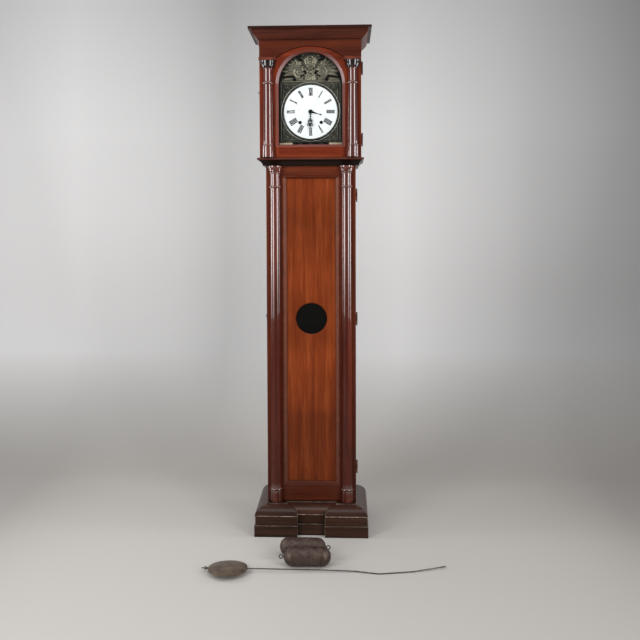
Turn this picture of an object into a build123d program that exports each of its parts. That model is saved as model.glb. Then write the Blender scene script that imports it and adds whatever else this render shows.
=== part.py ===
"""A tall longcase clock: wooden case with two glazed or pierced doors, and a cage movement on a seat board.

X runs to the right, Y to the back and Z up. Zero is the middle of the plinth's underside, on the floor.
All sizes are in millimetres. Angles on the dial are clockwise from twelve, seen from the front.
"""

import os
from math import asin, atan2, ceil, cos, degrees, hypot, pi, radians, sin, sqrt

from build123d import *

# ---------------------------------------------------------------------------------------------- case
back_y = 96.0  # flush back of the whole case
board = 18.0  # sides, bottom and roof
back_board_t = 12.0
door_t = 21.5
door_gap = 0.5  # between a shut door and the case behind it
door_margin = 0.5  # how much narrower than the case a door is, each side
seat = 0.3  # standing clearance between parts of different bodies

# widths and fronts
trunk_width = 378.0
trunk_front = -110.0
hood_overhang = 23.0  # the hood stands this far outside the trunk on three sides

# heights, stacked from the floor
plinth_h = 86.0
cap_h = 40.0
trunk_h = 1428.0
waist_h = 31.0
hood_h = 489.0  # from the waist moulding to the cornice
cornice_h = 46.0

# plinth
plinth_step_z = 47.0  # top of the lower, wider fascia
plinth_step = 4.0
plinth_wall = 22.0
cap_edge = 4.0  # square edge on top of the cap
ledge_front = 29.0  # flat ledge in front of the trunk door, for the column feet
ledge_side = 2.0
cap_round = 46.0  # how far the cap's round spreads
recess_half = 58.0  # half width of the set-back middle of the plinth
recess_depth = 23.0
plinth_lip = 2.5  # the cap stands this far outside the fascia below it

# trunk door
door_foot_gap = 2.0
door_head_gap = 1.5
trunk_stile = 73.0
trunk_bottom_rail = 67.0
trunk_top_rail = 47.0
bevel_w = 12.0
bevel_top_w = 6.0
bevel_depth = 10.0
panel_t = 8.0
panel_lap = 8.0
porthole_z = 906.0
porthole_r = 66.0
porthole_chamfer = 4.0
porthole_glass_r = 76.0
glass_t = 3.0

# trunk half-columns
trunk_column_x = 150.0
trunk_column_r = 25.0
trunk_column_top_r = 22.5
trunk_foot_h = 49.0
trunk_foot_r = 28.0
trunk_ring_bulge = 2.9
trunk_head_h = 28.0
trunk_head_out = 9.5  # how far the head flares
trunk_neck_h = 60.0  # from the neck ring up to the head ring

# hood door
hood_stile = 79.0
hood_bottom_rail = 56.0
springing = 305.0  # above the hood's foot
shoulder = 410.0  # height of the door's shoulders above the hood's foot
crown_rise = 49.0  # rise of the door's segmental head above its shoulders
crown_half = 142.0
crown_gap = 3.0
shoulder_gap = 1.5
opening_bevel = 11.0
glass_rebate = 5.5
rebate_depth = 7.0

# hood half-columns
hood_column_x = 176.0
hood_column_r = 22.5
hood_column_top_r = 19.5
hood_foot_h = 45.0
hood_foot_r = 26.5
hood_ring_bulge = 2.9
hood_neck_h = 57.0  # from the upper ring to the capital
capital_h = 27.0
capital_out = 12.0  # how far the capital flares
abacus_h = 11.0
abacus_half = 35.0
abacus_out = 34.0

# mouldings: how far each stands out
waist_lip = 10.5
waist_tip = 7.0  # height of the moulding's square edge
waist_foot = 12.0  # flat soffit at its foot, outside the trunk
cornice_out = 42.0
cornice_step = 12.0
cornice_fascia = 10.0
cornice_bead = 7.0
cornice_bead_h = 4.0
frieze_h = 28.0  # how far the frieze board runs up behind the cornice

# hinges, hooks
hinge_h = 43.0
hinge_leaf_t = 1.2
hinge_leaf_w = 18.0
knuckle_r = 3.2
pin_r = 1.6
running = 0.05  # radial clearance of a turning fit
knuckle_gap = 0.3
finial_r = 3.4
hinge_offset = 4.4  # pin axis outside the door's edge
trunk_hinge_foot = 144.0  # lowest hinge above the plinth
trunk_hinge_head = 124.0  # highest hinge below the waist moulding
trunk_hinge_shift = 56.0  # the middle one above halfway
hood_hinge_foot = 76.0  # above the hood's foot
hood_hinge_head = 117.0  # below the cornice
hook_wire_r = 1.1
hook_eye_r = 3.4
hook_eye_t = 2.6
hook_screw_r = 1.4
hook_reach = 27.0
hook_back = 37.0  # pivot behind the door's front face
hook_stand_off = 3.0  # hook plane outside the case side
hook_tip = 6.0
hood_hook_height = 275.0  # above the hood's foot
trunk_hook_z = 919.0
staple_hole_r = 2.3
staple_r = 4.2
staple_t = 1.4

# ------------------------------------------------------------------------------------------ movement
dial_height = 195.0  # dial centre above the hood's foot
dial_r = 116.0
dial_t = 1.8
dial_dome = 8.0
dial_hole_r = 5.4
winding_hole_r = 6.0
mask_front = -96.0
mask_t = 1.2
mask_half = 130.0
mask_drop = 128.0  # below the dial centre
mask_rise = 125.0  # up to the foot of the fronton
fronton_h = 128.0
mask_lap = 12.0  # the mask reaches this far under the dial's edge
bezel_out = 5.0  # outside the dial's edge
bezel_lap = 3.5  # over the dial's edge
bezel_clear = 0.6
bezel_land = 5.0
bezel_h = 6.0
dial_foot_r = 3.0

seat_drop = 140.0  # seat board's top below the dial centre
seat_t = 24.0
seat_front = -88.0
cleat_x = (77.0, 132.0)  # two cleats on the seat board's front edge
cleat_t = 6.5
cleat_rise = 12.0
cage_half = 100.0
cage_front = -86.0
cage_depth = 146.0
cage_h = 255.0
cage_plate_t = 4.0
pillar = 10.0
bar_w = 16.0
bar_t = 4.0
back_bar_y = 40.0

wind_x = 44.5
wind_drop = 45.0
arbor_r = 2.0
barrel_arbor_r = 3.0
winding_square = 4.2
drum_r = 28.0
drum_flange_r = 32.0
drum_flange_t = 3.0
drum_end_y = 28.0
cord_hole_r = 2.0
ratchet_teeth = 16
ratchet_r = 22.0
ratchet_depth = 3.0
ratchet_t = 2.6

great_teeth, great_leaves = 60, 10
centre_teeth, third_leaves = 64, 8
third_teeth, escape_leaves = 60, 8
pin_teeth, fly_leaves = 60, 8
minute_teeth, cannon_leaves = 36, 12
hour_teeth, hour_leaves = 40, 10
centre_to_third = 36.0
third_to_escape = 30.6
motion_centres = 25.0
wheel_t = 3.0

going_wheel_y = -16.0  # back face of each wheel
strike_wheel_y = -31.0
centre_wheel_y = -58.0
third_wheel_y = -68.0
pin_wheel_y = -42.0
escape_wheel_y = 20.0
minute_wheel_y = -91.5
hour_wheel_y = -98.5

escape_teeth = 30
escape_r = 24.0
escape_tooth = 4.5
escape_t = 2.0
pallet_span = 45.0  # each side of the line of centres
pallet_clear = 1.2  # the pallets stay outside the wheel's tips over their whole swing
pallet_w = 1.6
pallet_t = 3.0
crutch_drop = 110.0
crutch_gap = 4.0  # half gap of the fork
suspension_y = 68.0
spring_h = 60.0

pin_count = 8
pin_circle_r = 21.0
lift_pin_r = 1.2
hammer_rise = 40.0  # hammer arbor above the fly arbor
fly_half = 22.0
fly_w = 30.0
fly_t = 0.8
fly_y = 5.0

bell_r = 62.0
bell_h = 42.0
bell_t = 3.0
bell_lift = 30.0  # bell mouth above the cage
bell_y = -20.0
bell_post_r = 4.0

minute_angle = 182.0
hour_angle = 107.0
minute_length = 79.0
hour_length = 50.0
hand_t = 1.0
hand_boss_r = 8.2
hour_hand_y = -107.0  # back face
minute_hand_y = -110.2
cannon_pipe_r = 3.0
hour_pipe_r = 4.4

# ----------------------------------------------------------------------------- pieces off the clock
weight_r = 35.0
weight_length = 182.0
weight_end = 33.0  # length of each rounded end
ring_r = 7.0
ring_wire_r = 2.0
weight_left_place = (-3.0, -428.0, 1.5)  # middle, and turn in degrees
weight_right_place = (-25.0, -346.0, -1.5)
bob_place = (-300.0, -488.0)
bob_r = 74.0
bob_t = 26.0
bob_edge_t = 6.0
bob_flat_r = 3.0
bob_lean = -6.0  # the front edge stands up
rod_r = 2.0
rod_tube_r = 4.5
rating_r = 7.0
# the wire rod as it lies, from the bob's middle to the hook
rod_route = [(60.0, -480.0, 9.0), (180.0, -478.0, 5.0), (270.0, -491.0, 2.4), (400.0, -471.0, 3.6), (476.0, -450.0, 6.0)]
rod_end = (508.0, -441.0, 7.5)

# -------------------------------------------------------------------------------------- worked out
trunk_half = trunk_width / 2
hood_half = trunk_half + hood_overhang
hood_front = trunk_front - hood_overhang
cap_top = plinth_h + cap_h
waist_z = cap_top + trunk_h
hood_z = waist_z + waist_h
cornice_z = hood_z + hood_h
top_z = cornice_z + cornice_h
roof_z = top_z - board
back_face = back_y - back_board_t
trunk_door_back = trunk_front + door_t
hood_door_back = hood_front + door_t
trunk_case_front = trunk_door_back + door_gap
hood_case_front = hood_door_back + door_gap
ledge_half = trunk_half + ledge_side
ledge_y = trunk_front - ledge_front
plinth_half = ledge_half + cap_round - plinth_lip
plinth_front = ledge_y - cap_round + plinth_lip
trunk_inner = trunk_half - board
hood_inner = hood_half - board
shoulder_z = hood_z + shoulder
spring_z = hood_z + springing
crown_r = (crown_half**2 + crown_rise**2) / (2 * crown_rise)
crown_z = shoulder_z + crown_rise - crown_r
opening_half = hood_half - hood_stile
opening_foot = hood_z + hood_bottom_rail
dial_z = hood_z + dial_height
wind_z = dial_z - wind_drop
seat_z = dial_z - seat_drop
cage_top = seat_z + cage_h
cage_back = cage_front + cage_depth
back_bar_end = back_bar_y + bar_t
third_z = dial_z + centre_to_third
escape_z = third_z + third_to_escape
anchor_z = escape_z + escape_r / cos(radians(pallet_span))
great_centres = hypot(wind_x, wind_drop)
great_module = 2 * great_centres / (great_teeth + great_leaves)
centre_module = 2 * centre_to_third / (centre_teeth + third_leaves)
third_module = 2 * third_to_escape / (third_teeth + escape_leaves)
minute_module = 2 * motion_centres / (minute_teeth + cannon_leaves)
hour_module = 2 * motion_centres / (hour_teeth + hour_leaves)
pin_z = wind_z + great_centres
fly_z = pin_z + third_to_escape
hammer_z = fly_z + hammer_rise
dial_rim_back = mask_front
dial_crown = mask_front - dial_t - dial_dome
trunk_door_half = trunk_half - door_margin
hood_door_half = hood_half - door_margin
trunk_hinge_low, trunk_hinge_high = cap_top + trunk_hinge_foot, waist_z - trunk_hinge_head
trunk_hinge_z = (trunk_hinge_low, (trunk_hinge_low + trunk_hinge_high) / 2 + trunk_hinge_shift, trunk_hinge_high)
hood_hinge_z = (hood_z + hood_hinge_foot, cornice_z - hood_hinge_head)
hood_hook_z = hood_z + hood_hook_height
mask_opening_r = dial_r - mask_lap
bezel_in_r, bezel_out_r = dial_r - bezel_lap, dial_r + bezel_out


# --------------------------------------------------------------------------------------- small tools
def slab(x0, x1, y0, y1, z0, z1):
    """A board given by its six faces."""
    return Pos((x0 + x1) / 2, (y0 + y1) / 2, (z0 + z1) / 2) * Box(x1 - x0, y1 - y0, z1 - z0)


def facing(x, y, z):
    """Plane across the clock at a point, seen from the front; extruding comes forward."""
    return Plane(origin=(x, y, z), x_dir=(1, 0, 0), z_dir=(0, -1, 0))


def forward(face, x, back, z, depth):
    """A flat outline brought forward by depth from the plane at back."""
    return extrude(facing(x, back, z) * face, depth)


def rod_y(x, z, radius, front, back):
    """A round rod along Y."""
    return forward(Circle(radius), x, back, z, back - front)


def turned(stations):
    """Half section of a turning, from (z, r) stations; (z0, z1, r, bulge) makes a bead."""
    runs = []
    last = (0.0, stations[0][0])
    for station in stations:
        start = (station[1], station[0]) if len(station) == 2 else (station[2], station[0])
        if start != last:
            runs.append(Line(last, start))
        last = start
        if len(station) == 4:
            low, high, radius, bulge = station
            runs.append(ThreePointArc(start, (radius + bulge, (low + high) / 2), (radius, high)))
            last = (radius, high)
    runs.append(Line(last, (0.0, last[1])))
    runs.append(Line((0.0, last[1]), (0.0, stations[0][0])))
    return make_face(runs)


def half_column(stations, x, front):
    """Half of a turning planted on a front face."""
    section = Plane(origin=(x, front, 0), x_dir=(-1, 0, 0), z_dir=(0, 1, 0)) * turned(stations)
    return revolve(section, Axis((x, front, 0), (0, 0, 1)), 180)


def round_about(stations, x, y):
    """A whole turning on an upright axis."""
    section = Plane(origin=(x, y, 0), x_dir=(1, 0, 0), z_dir=(0, -1, 0)) * turned(stations)
    return revolve(section, Axis((x, y, 0), (0, 0, 1)), 360)


def three_sided(section, half, front):
    """A mitred moulding round the front and both sides; section is (outward, height)."""
    start = Plane(origin=(half, back_y, 0), x_dir=(1, 0, 0), z_dir=(0, -1, 0))
    route = Polyline((half, back_y, 0), (half, front, 0), (-half, front, 0), (-half, back_y, 0))
    return sweep(start * section, path=route, transition=Transition.RIGHT)


def tooth_ring(teeth, module, slim=0.0):
    """Outline of a spur wheel with straight flanks, slimmed so that it runs with play."""
    pitch_r = teeth * module / 2
    root, tip = pitch_r - 1.15 * module, pitch_r + 0.75 * module
    step = 2 * pi / teeth
    corners = []
    for n in range(teeth):
        for radius, share in ((root, -0.30), (tip, -0.11), (tip, 0.11), (root, 0.30)):
            angle = (n + share * (1 - slim)) * step
            corners.append((radius * cos(angle), radius * sin(angle)))
    return make_face(Polyline(*corners, close=True))


def crossings(hub_r, rim_r, arms, arm_w):
    """The windows between the arms of a crossed-out wheel."""
    ring = Circle(rim_r) - Circle(hub_r)
    for n in range(arms):
        ring -= Rot(0, 0, 180 / arms * n) * Rectangle(2 * rim_r + arm_w, arm_w)
    return ring


def toothed(teeth, module, x, back, z, thick, bore, turn=0.0, arms=0):
    """A spur wheel or pinion on an arbor along Y; turn is in degrees from +X towards +Z."""
    outline = tooth_ring(teeth, module)
    if arms:
        rim = teeth * module / 2 - 4.5 * module
        outline -= crossings(8.0, rim, arms, 5.0)
    outline = Rot(0, 0, turn) * outline
    if bore:
        outline -= Circle(bore)
    return forward(outline, x, back, z, thick)


def mesh_turns(x0, z0, x1, z1, teeth1):
    """Turns that put a tooth of the first wheel in a gap of the second, on their line of centres."""
    line = degrees(atan2(z1 - z0, x1 - x0))
    return line, line + 180 + 180 / teeth1


def save(name, *solids):
    """Writes one node as a STEP file."""
    pieces = []
    for solid in solids:
        pieces.extend(solid.solids())
    shape = pieces[0] if len(pieces) == 1 else Compound(children=pieces)
    export_step(shape, f"parts/{name}.step")


# -------------------------------------------------------------------------------------------- plinth
def breakfront(half, front, wall, low, high):
    """Three-sided plinth frame whose middle steps back."""
    outline = [
        (-half, back_y), (-half, front), (-recess_half, front), (-recess_half, front + recess_depth),
        (recess_half, front + recess_depth), (recess_half, front), (half, front), (half, back_y),
    ]
    frame = extrude(Pos(0, 0, low) * make_face(Polyline(*outline, close=True)), high - low)
    inner_half, inner_front = plinth_half - wall, plinth_front + recess_depth + wall
    return frame - slab(-inner_half, inner_half, inner_front, back_y + 1, low - 1, high + 1)


def rounded_body(left, right, front):
    """Block whose sides and front swell downwards in a quarter round, square at its top edge."""
    low, high = plinth_h, cap_top - cap_edge
    across = make_face([
        EllipticalCenterArc((right, low), cap_round, high - low, 0, arc_size=90),
        Line((right, high), (right, cap_top)),
        Line((right, cap_top), (left, cap_top)),
        Line((left, cap_top), (left, high)),
        EllipticalCenterArc((left, low), cap_round, high - low, 90, arc_size=90),
        Line((left - cap_round, low), (right + cap_round, low)),
    ])
    deep = make_face([
        EllipticalCenterArc((-front, low), cap_round, high - low, 0, arc_size=90),
        Line((-front, high), (-front, cap_top)),
        Line((-front, cap_top), (-back_y, cap_top)),
        Line((-back_y, cap_top), (-back_y, low)),
        Line((-back_y, low), (-front + cap_round, low)),
    ])
    body = forward(across, 0, back_y, 0, back_y - front + cap_round + 2)
    end = Plane(origin=(right + cap_round + 1, 0, 0), x_dir=(0, -1, 0), z_dir=(-1, 0, 0))
    side = extrude(end * deep, right - left + 2 * cap_round + 2)
    return body & side


def make_plinth():
    lower = breakfront(plinth_half + plinth_step, plinth_front - plinth_step, plinth_wall, 0, plinth_step_z)
    upper = breakfront(plinth_half, plinth_front, plinth_wall, plinth_step_z, plinth_h)
    save("plinth_base", lower + upper)

    middle = rounded_body(-ledge_half, ledge_half, ledge_y + recess_depth)
    block_inner = recess_half + cap_round
    cap = middle
    for side in (-1, 1):
        ends = sorted((side * block_inner, side * ledge_half))
        cap += rounded_body(ends[0], ends[1], ledge_y)
    well = slab(-trunk_half, trunk_half, trunk_case_front, back_y + 1, plinth_h - 1, cap_top + 1)
    save("plinth_cap", cap - well)

    inner_half = plinth_half - plinth_wall
    inner_front = plinth_front + recess_depth + plinth_wall
    save("bottom_board", slab(-inner_half, inner_half, inner_front, back_y, 0, board))

    blocks = []
    for side in (-1, 1):
        ends = sorted((side * trunk_half, side * inner_half))
        for y in (trunk_case_front, back_y - 60):
            blocks.append(slab(ends[0], ends[1], y, y + 60, board, plinth_h))
    save("glue_blocks", *blocks)


# ------------------------------------------------------------------------------------------- carcass
def make_carcass():
    sides = []
    for side in (-1, 1):
        ends = sorted((side * trunk_half, side * trunk_inner))
        sides.append(slab(ends[0], ends[1], trunk_case_front, back_face, board, seat_z - seat_t))
    save("trunk_sides", *sides)

    lower = slab(-trunk_half, trunk_half, back_face, back_y, board, waist_z + waist_h)
    upper = slab(-hood_half, hood_half, back_face, back_y, waist_z + waist_h, roof_z)
    save("back_board", lower + upper)

    rail_back = trunk_case_front + board
    rails = [
        slab(-trunk_inner, trunk_inner, trunk_case_front, rail_back, board, cap_top + 34),
        slab(-trunk_inner, trunk_inner, trunk_case_front, rail_back, waist_z - 34, hood_z),
        slab(-hood_inner, hood_inner, hood_case_front, trunk_case_front, hood_z, hood_z + 22),
    ]
    save("front_rails", *rails)

    reach = hood_overhang + waist_lip
    tip_z = hood_z - waist_tip
    hollow = reach - 2.5 - waist_foot
    waist = make_face([
        Line((0, waist_z), (waist_foot, waist_z)),
        Line((waist_foot, waist_z), (waist_foot, waist_z + 2)),
        Spline((waist_foot, waist_z + 2), (waist_foot + hollow * 0.28, (waist_z + tip_z) / 2 + 1), (reach - 2.5, tip_z)),
        Line((reach - 2.5, tip_z), (reach, tip_z)),
        Line((reach, tip_z), (reach, hood_z)),
        Line((reach, hood_z), (0, hood_z)),
        Line((0, hood_z), (0, waist_z)),
    ])
    front_core = slab(-trunk_half, trunk_half, trunk_front, trunk_case_front, waist_z, hood_z)
    save("waist_moulding", three_sided(waist, trunk_half, trunk_front) + front_core)

    seat_board = slab(-trunk_half, trunk_half, seat_front, back_face, seat_z - seat_t, seat_z)
    for side in (-1, 1):
        seat_board -= slab(side * wind_x - 16, side * wind_x + 16, -20, 34, seat_z - seat_t - 1, seat_z + 1)
    seat_board -= slab(-34, 34, suspension_y - 14, suspension_y + 14, seat_z - seat_t - 1, seat_z + 1)
    for side in (-1, 1):
        ends = sorted((side * cleat_x[0], side * cleat_x[1]))
        seat_board += slab(ends[0], ends[1], seat_front - cleat_t, seat_front, seat_z - seat_t, seat_z + cleat_rise)
    save("seat_board", seat_board)

    sides = []
    for side in (-1, 1):
        ends = sorted((side * hood_half, side * hood_inner))
        sides.append(slab(ends[0], ends[1], hood_case_front, back_face, hood_z, roof_z))
    save("hood_sides", *sides)

    frieze = slab(-hood_half, hood_half, hood_front, hood_case_front, shoulder_z + shoulder_gap, roof_z)
    arch = rod_y(0, crown_z, crown_r + crown_gap, hood_front - 1, hood_case_front + 1)
    save("frieze_board", frieze - arch)
    save("roof_board", slab(-hood_half, hood_half, hood_front, back_y, roof_z, top_z))

    step_out = cornice_out - cornice_step
    bead_top = cornice_z + cornice_bead_h
    fascia_z = top_z - cornice_fascia
    cornice = make_face([
        Line((0, cornice_z), (cornice_bead - 2, cornice_z)),
        ThreePointArc((cornice_bead - 2, cornice_z), (cornice_bead, (cornice_z + bead_top) / 2), (cornice_bead - 2, bead_top)),
        Line((cornice_bead - 2, bead_top), (cornice_bead, bead_top)),
        Spline((cornice_bead, bead_top), (step_out * 0.68, bead_top + (fascia_z - bead_top) * 0.38), (step_out, fascia_z),
               tangents=((1.0, 0.75), (0.12, 1.0))),
        Line((step_out, fascia_z), (cornice_out, fascia_z)),
        Line((cornice_out, fascia_z), (cornice_out, top_z)),
        Line((cornice_out, top_z), (0, top_z)),
        Line((0, top_z), (0, cornice_z)),
    ])
    save("cornice", three_sided(cornice, hood_half, hood_front))


# --------------------------------------------------------------------------------------------- doors
def make_trunk_door():
    foot, head = cap_top + door_foot_gap, waist_z - door_head_gap
    open_half = trunk_half - trunk_stile
    open_foot, open_head = cap_top + trunk_bottom_rail + door_foot_gap, waist_z - trunk_top_rail
    deep_half, deep_foot, deep_head = open_half - bevel_w, open_foot + bevel_w + 2, open_head - bevel_top_w
    frame = slab(-trunk_door_half, trunk_door_half, trunk_front, trunk_door_back, foot, head)
    wide = Pos(0, (open_foot + open_head) / 2) * Rectangle(2 * open_half, open_head - open_foot)
    narrow = Pos(0, (deep_foot + deep_head) / 2) * Rectangle(2 * deep_half, deep_head - deep_foot)
    bevel_end = trunk_front + bevel_depth
    frame -= loft([facing(0, trunk_front, 0) * wide, facing(0, bevel_end, 0) * narrow])
    frame -= forward(narrow, 0, trunk_door_back + 1, 0, trunk_door_back + 1 - bevel_end)
    panel_front = trunk_door_back - panel_t
    edge = (deep_half + panel_lap, deep_foot - panel_lap, deep_head + panel_lap)
    frame -= slab(-edge[0], edge[0], panel_front, trunk_door_back + 1, edge[1], edge[2])
    save("trunk_door_frame", frame)

    panel = slab(-edge[0], edge[0], panel_front, trunk_door_back, edge[1], edge[2])
    panel -= rod_y(0, porthole_z, porthole_r, panel_front - 1, trunk_door_back + 1)
    cone_front = facing(0, panel_front, porthole_z) * Circle(porthole_r + porthole_chamfer)
    cone_back = facing(0, panel_front + porthole_chamfer, porthole_z) * Circle(porthole_r)
    panel -= loft([cone_front, cone_back])
    save("trunk_door_panel", panel)
    save("porthole_glass", rod_y(0, porthole_z, porthole_glass_r, trunk_door_back, trunk_door_back + glass_t))

    ring_z = (foot + trunk_foot_h, head - trunk_head_h - trunk_neck_h, head - trunk_head_h)
    r0, r1, flare = trunk_column_r, trunk_column_top_r, trunk_head_out
    stations = [
        (foot + 0.5, trunk_foot_r), (ring_z[0], trunk_foot_r - 1.5), (ring_z[0], ring_z[0] + 10, r0, trunk_ring_bulge + 1.6),
        (ring_z[0] + 13, r0), (ring_z[1] - 7, r1), (ring_z[1] - 7, r1 + 1.8),
        (ring_z[1] - 4.5, r1 + 1.8), (ring_z[1] - 4.5, ring_z[1] + 4.5, r1 + 1.6, trunk_ring_bulge + 1.3),
        (ring_z[1] + 4.5, r1 + 1.8), (ring_z[1] + 7, r1 + 1.8), (ring_z[1] + 7, r1 - 0.3), (ring_z[2] - 5, r1 - 0.5),
        (ring_z[2] - 5, r1 + 1), (ring_z[2] - 4, ring_z[2] + 4, r1 + 1, trunk_ring_bulge + 0.9), (ring_z[2] + 5, r1 + flare * 0.45),
        (ring_z[2] + 10, r1 + flare * 0.56), (head - 11, r1 + flare * 0.76), (head - 6, r1 + flare), (head - 0.5, r1 + flare),
    ]
    save("trunk_columns", *[half_column(stations, s * trunk_column_x, trunk_front) for s in (-1, 1)])
    save("trunk_door_staple", staple(-trunk_door_half, trunk_front, trunk_hook_z))


def arched(half, foot, spring, grow=0.0):
    """Outline of the round-headed opening, grown evenly."""
    width = half + grow
    sheet = Pos(0, (foot - grow + spring) / 2) * Rectangle(2 * width, spring - foot + grow)
    return sheet + Pos(0, spring) * Circle(width)


def make_hood_door():
    foot = hood_z + door_foot_gap
    body = Pos(0, (foot + shoulder_z) / 2) * Rectangle(2 * hood_door_half, shoulder_z - foot)
    crown = (Pos(0, crown_z) * Circle(crown_r)) & (
        Pos(0, shoulder_z + crown_rise / 2 - 1) * Rectangle(2 * crown_half, crown_rise + 2))
    outline = body + crown
    opening = arched(opening_half, opening_foot, spring_z)
    frame = forward(outline - opening, 0, hood_door_back, 0, door_t)
    rebate = arched(opening_half, opening_foot, spring_z, glass_rebate)
    frame -= forward(rebate, 0, hood_door_back + 1, 0, rebate_depth + 1)
    inner_edges = frame.edges().filter_by(
        lambda e: abs(e.center().Y - hood_front) < 0.01 and hypot(e.center().X, 0) <= opening_half + 0.01
        and opening_foot - 0.01 <= e.center().Z <= spring_z + opening_half + 0.01
        and e.bounding_box().size.X <= 2 * opening_half + 0.01)
    frame = chamfer(inner_edges, opening_bevel)
    save("hood_door_frame", frame)
    pane = arched(opening_half, opening_foot, spring_z, glass_rebate - 0.5)
    save("hood_door_glass", forward(pane, 0, hood_door_back - rebate_depth + glass_t, 0, glass_t))

    top = shoulder_z
    neck = top - abacus_h - capital_h
    ring_low, ring_high = foot + hood_foot_h, neck - hood_neck_h - 6
    r0, r1, flare = hood_column_r, hood_column_top_r, capital_out
    stations = [
        (foot + 0.5, hood_foot_r), (ring_low, hood_foot_r - 1), (ring_low, ring_low + 8, r0, hood_ring_bulge + 0.9),
        (ring_low + 11, r0), (ring_high - 6, r1), (ring_high - 6, r1 + 1.5), (ring_high - 6, ring_high + 6, r1 + 1.5, hood_ring_bulge + 1),
        (ring_high + 6, r1 - 0.5), (neck - 6, r1 - 0.5), (neck - 6, neck, r1 - 0.5, hood_ring_bulge), (neck, r1 - 0.5),
    ]
    save("hood_columns", *[half_column(stations, s * hood_column_x, hood_front) for s in (-1, 1)])
    bell = [(neck, r1 + flare * 0.42), (neck + capital_h * 0.2, r1 + flare * 0.62), (neck + capital_h * 0.5, r1 + flare * 0.76),
            (neck + capital_h * 0.8, r1 + flare * 0.88), (neck + capital_h, r1 + flare)]
    capitals = []
    for side in (-1, 1):
        x = side * hood_column_x
        abacus = slab(x - abacus_half, x + abacus_half, hood_front - abacus_out, hood_front, top - abacus_h, top)
        capitals.append(half_column(bell, x, hood_front) + abacus)
    save("hood_capitals", *capitals)
    save("hood_door_staple", staple(-hood_door_half, hood_front, hood_hook_z))


# --------------------------------------------------------------------------------- hinges and hooks
def hinge(edge_x, case_x, back, case_front, z):
    """One butt hinge at a door's right edge: (door leaf, case leaf with its pin)."""
    axis_x = edge_x + hinge_offset
    third = hinge_h / 3
    pin_y = (back + case_front) / 2
    low, high = z - hinge_h / 2, z + hinge_h / 2

    def barrel(z0, z1, radius):
        return Pos(axis_x, pin_y, (z0 + z1) / 2) * Cylinder(radius, z1 - z0)

    door = slab(edge_x, edge_x + hinge_leaf_t, back - hinge_leaf_w, back - 0.5, low, high)
    door += slab(edge_x, axis_x - pin_r - 0.6, back - 2.4, back - 0.5, low, high)
    middle = (low + third, high - third)
    door -= slab(edge_x - 1, axis_x + 9, back - 9, back + 9, middle[0] - knuckle_gap, middle[1] + knuckle_gap)
    for z0, z1 in ((low, middle[0] - knuckle_gap), (middle[1] + knuckle_gap, high)):
        door += barrel(z0, z1, knuckle_r) - barrel(z0, z1, pin_r + running)
    door += slab(edge_x, edge_x + hinge_leaf_t, back - hinge_leaf_w, back - 9, low, high)

    case = slab(case_x, case_x + hinge_leaf_t, case_front, case_front + hinge_leaf_w, middle[0], middle[1])
    case += slab(case_x, case_x + hinge_leaf_t, case_front + 4, case_front + hinge_leaf_w, low, high)
    case += barrel(middle[0], middle[1], knuckle_r)
    case += barrel(low - knuckle_gap - 1, high + knuckle_gap + 1, pin_r)
    for end, way in ((low, -1), (high, 1)):
        case += Pos(axis_x, pin_y, end + way * (knuckle_gap + finial_r)) * Sphere(finial_r)
    return door, case


def hook(case_x, front, z):
    """A wire hook hanging from its screw, with its tip turned back."""
    x, y = case_x - hook_stand_off, front + hook_back
    eye = Pos(x, y, z) * Rot(0, 90, 0) * (Cylinder(hook_eye_r, hook_eye_t) - Cylinder(hook_screw_r + running, 9))
    start = z - (hook_eye_r + hook_screw_r) / 2
    wire = FilletPolyline((x, y, start), (x, y, z - hook_reach), (x, y + hook_tip, z - hook_reach), radius=2 * hook_wire_r)
    section = Plane(origin=(x, y, start), x_dir=(1, 0, 0), z_dir=(0, 0, -1)) * Circle(hook_wire_r)
    return eye + sweep(section, path=wire)


def hook_screw(case_x, front, z):
    """The screw that a hook turns on, with its head outside."""
    x, y = case_x - hook_stand_off, front + hook_back
    face = hook_eye_t / 2 + seat
    pieces = [(x - face - 1.6, x - face, 2.8), (x - face, case_x, hook_screw_r), (x + face, case_x, 2.8)]
    screw = None
    for x0, x1, radius in pieces:
        run = Pos((x0 + x1) / 2, y, z) * Rot(0, 90, 0) * Cylinder(radius, x1 - x0)
        screw = run if screw is None else screw + run
    return screw


def staple(edge_x, front, hook_z):
    """Flat eye on a door's left edge that the hook's tip drops into."""
    y = front + hook_back - hook_reach
    x = edge_x - hook_stand_off - door_margin
    z = hook_z - hook_wire_r - 0.6 - staple_t
    eye = Pos(x, y, z + staple_t / 2) * (Cylinder(staple_r, staple_t) - Cylinder(staple_hole_r, staple_t + 2))
    foot = slab(edge_x - 2.4, edge_x, y - 3.5, y + 3.5, z - 2, z + staple_t)
    eye -= slab(edge_x, edge_x + 9, y - 9, y + 9, z - 9, z + 9)
    return eye + (foot - Pos(x, y, z) * Cylinder(staple_hole_r, 20))


def make_hinges_and_hooks():
    door_leaves, case_leaves = [], []
    for z in trunk_hinge_z:
        door, case = hinge(trunk_door_half, trunk_half, trunk_door_back, trunk_case_front, z)
        door_leaves.append(door)
        case_leaves.append(case)
    save("trunk_hinge_leaves", *door_leaves)
    door_leaves = []
    for z in hood_hinge_z:
        door, case = hinge(hood_door_half, hood_half, hood_door_back, hood_case_front, z)
        door_leaves.append(door)
        case_leaves.append(case)
    save("hood_hinge_leaves", *door_leaves)
    save("case_hinge_leaves", *case_leaves)
    save("trunk_hook", hook(-trunk_half, trunk_front, trunk_hook_z))
    save("hood_hook", hook(-hood_half, hood_front, hood_hook_z))
    save("hook_screws", hook_screw(-trunk_half, trunk_front, trunk_hook_z), hook_screw(-hood_half, hood_front, hood_hook_z))


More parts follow.
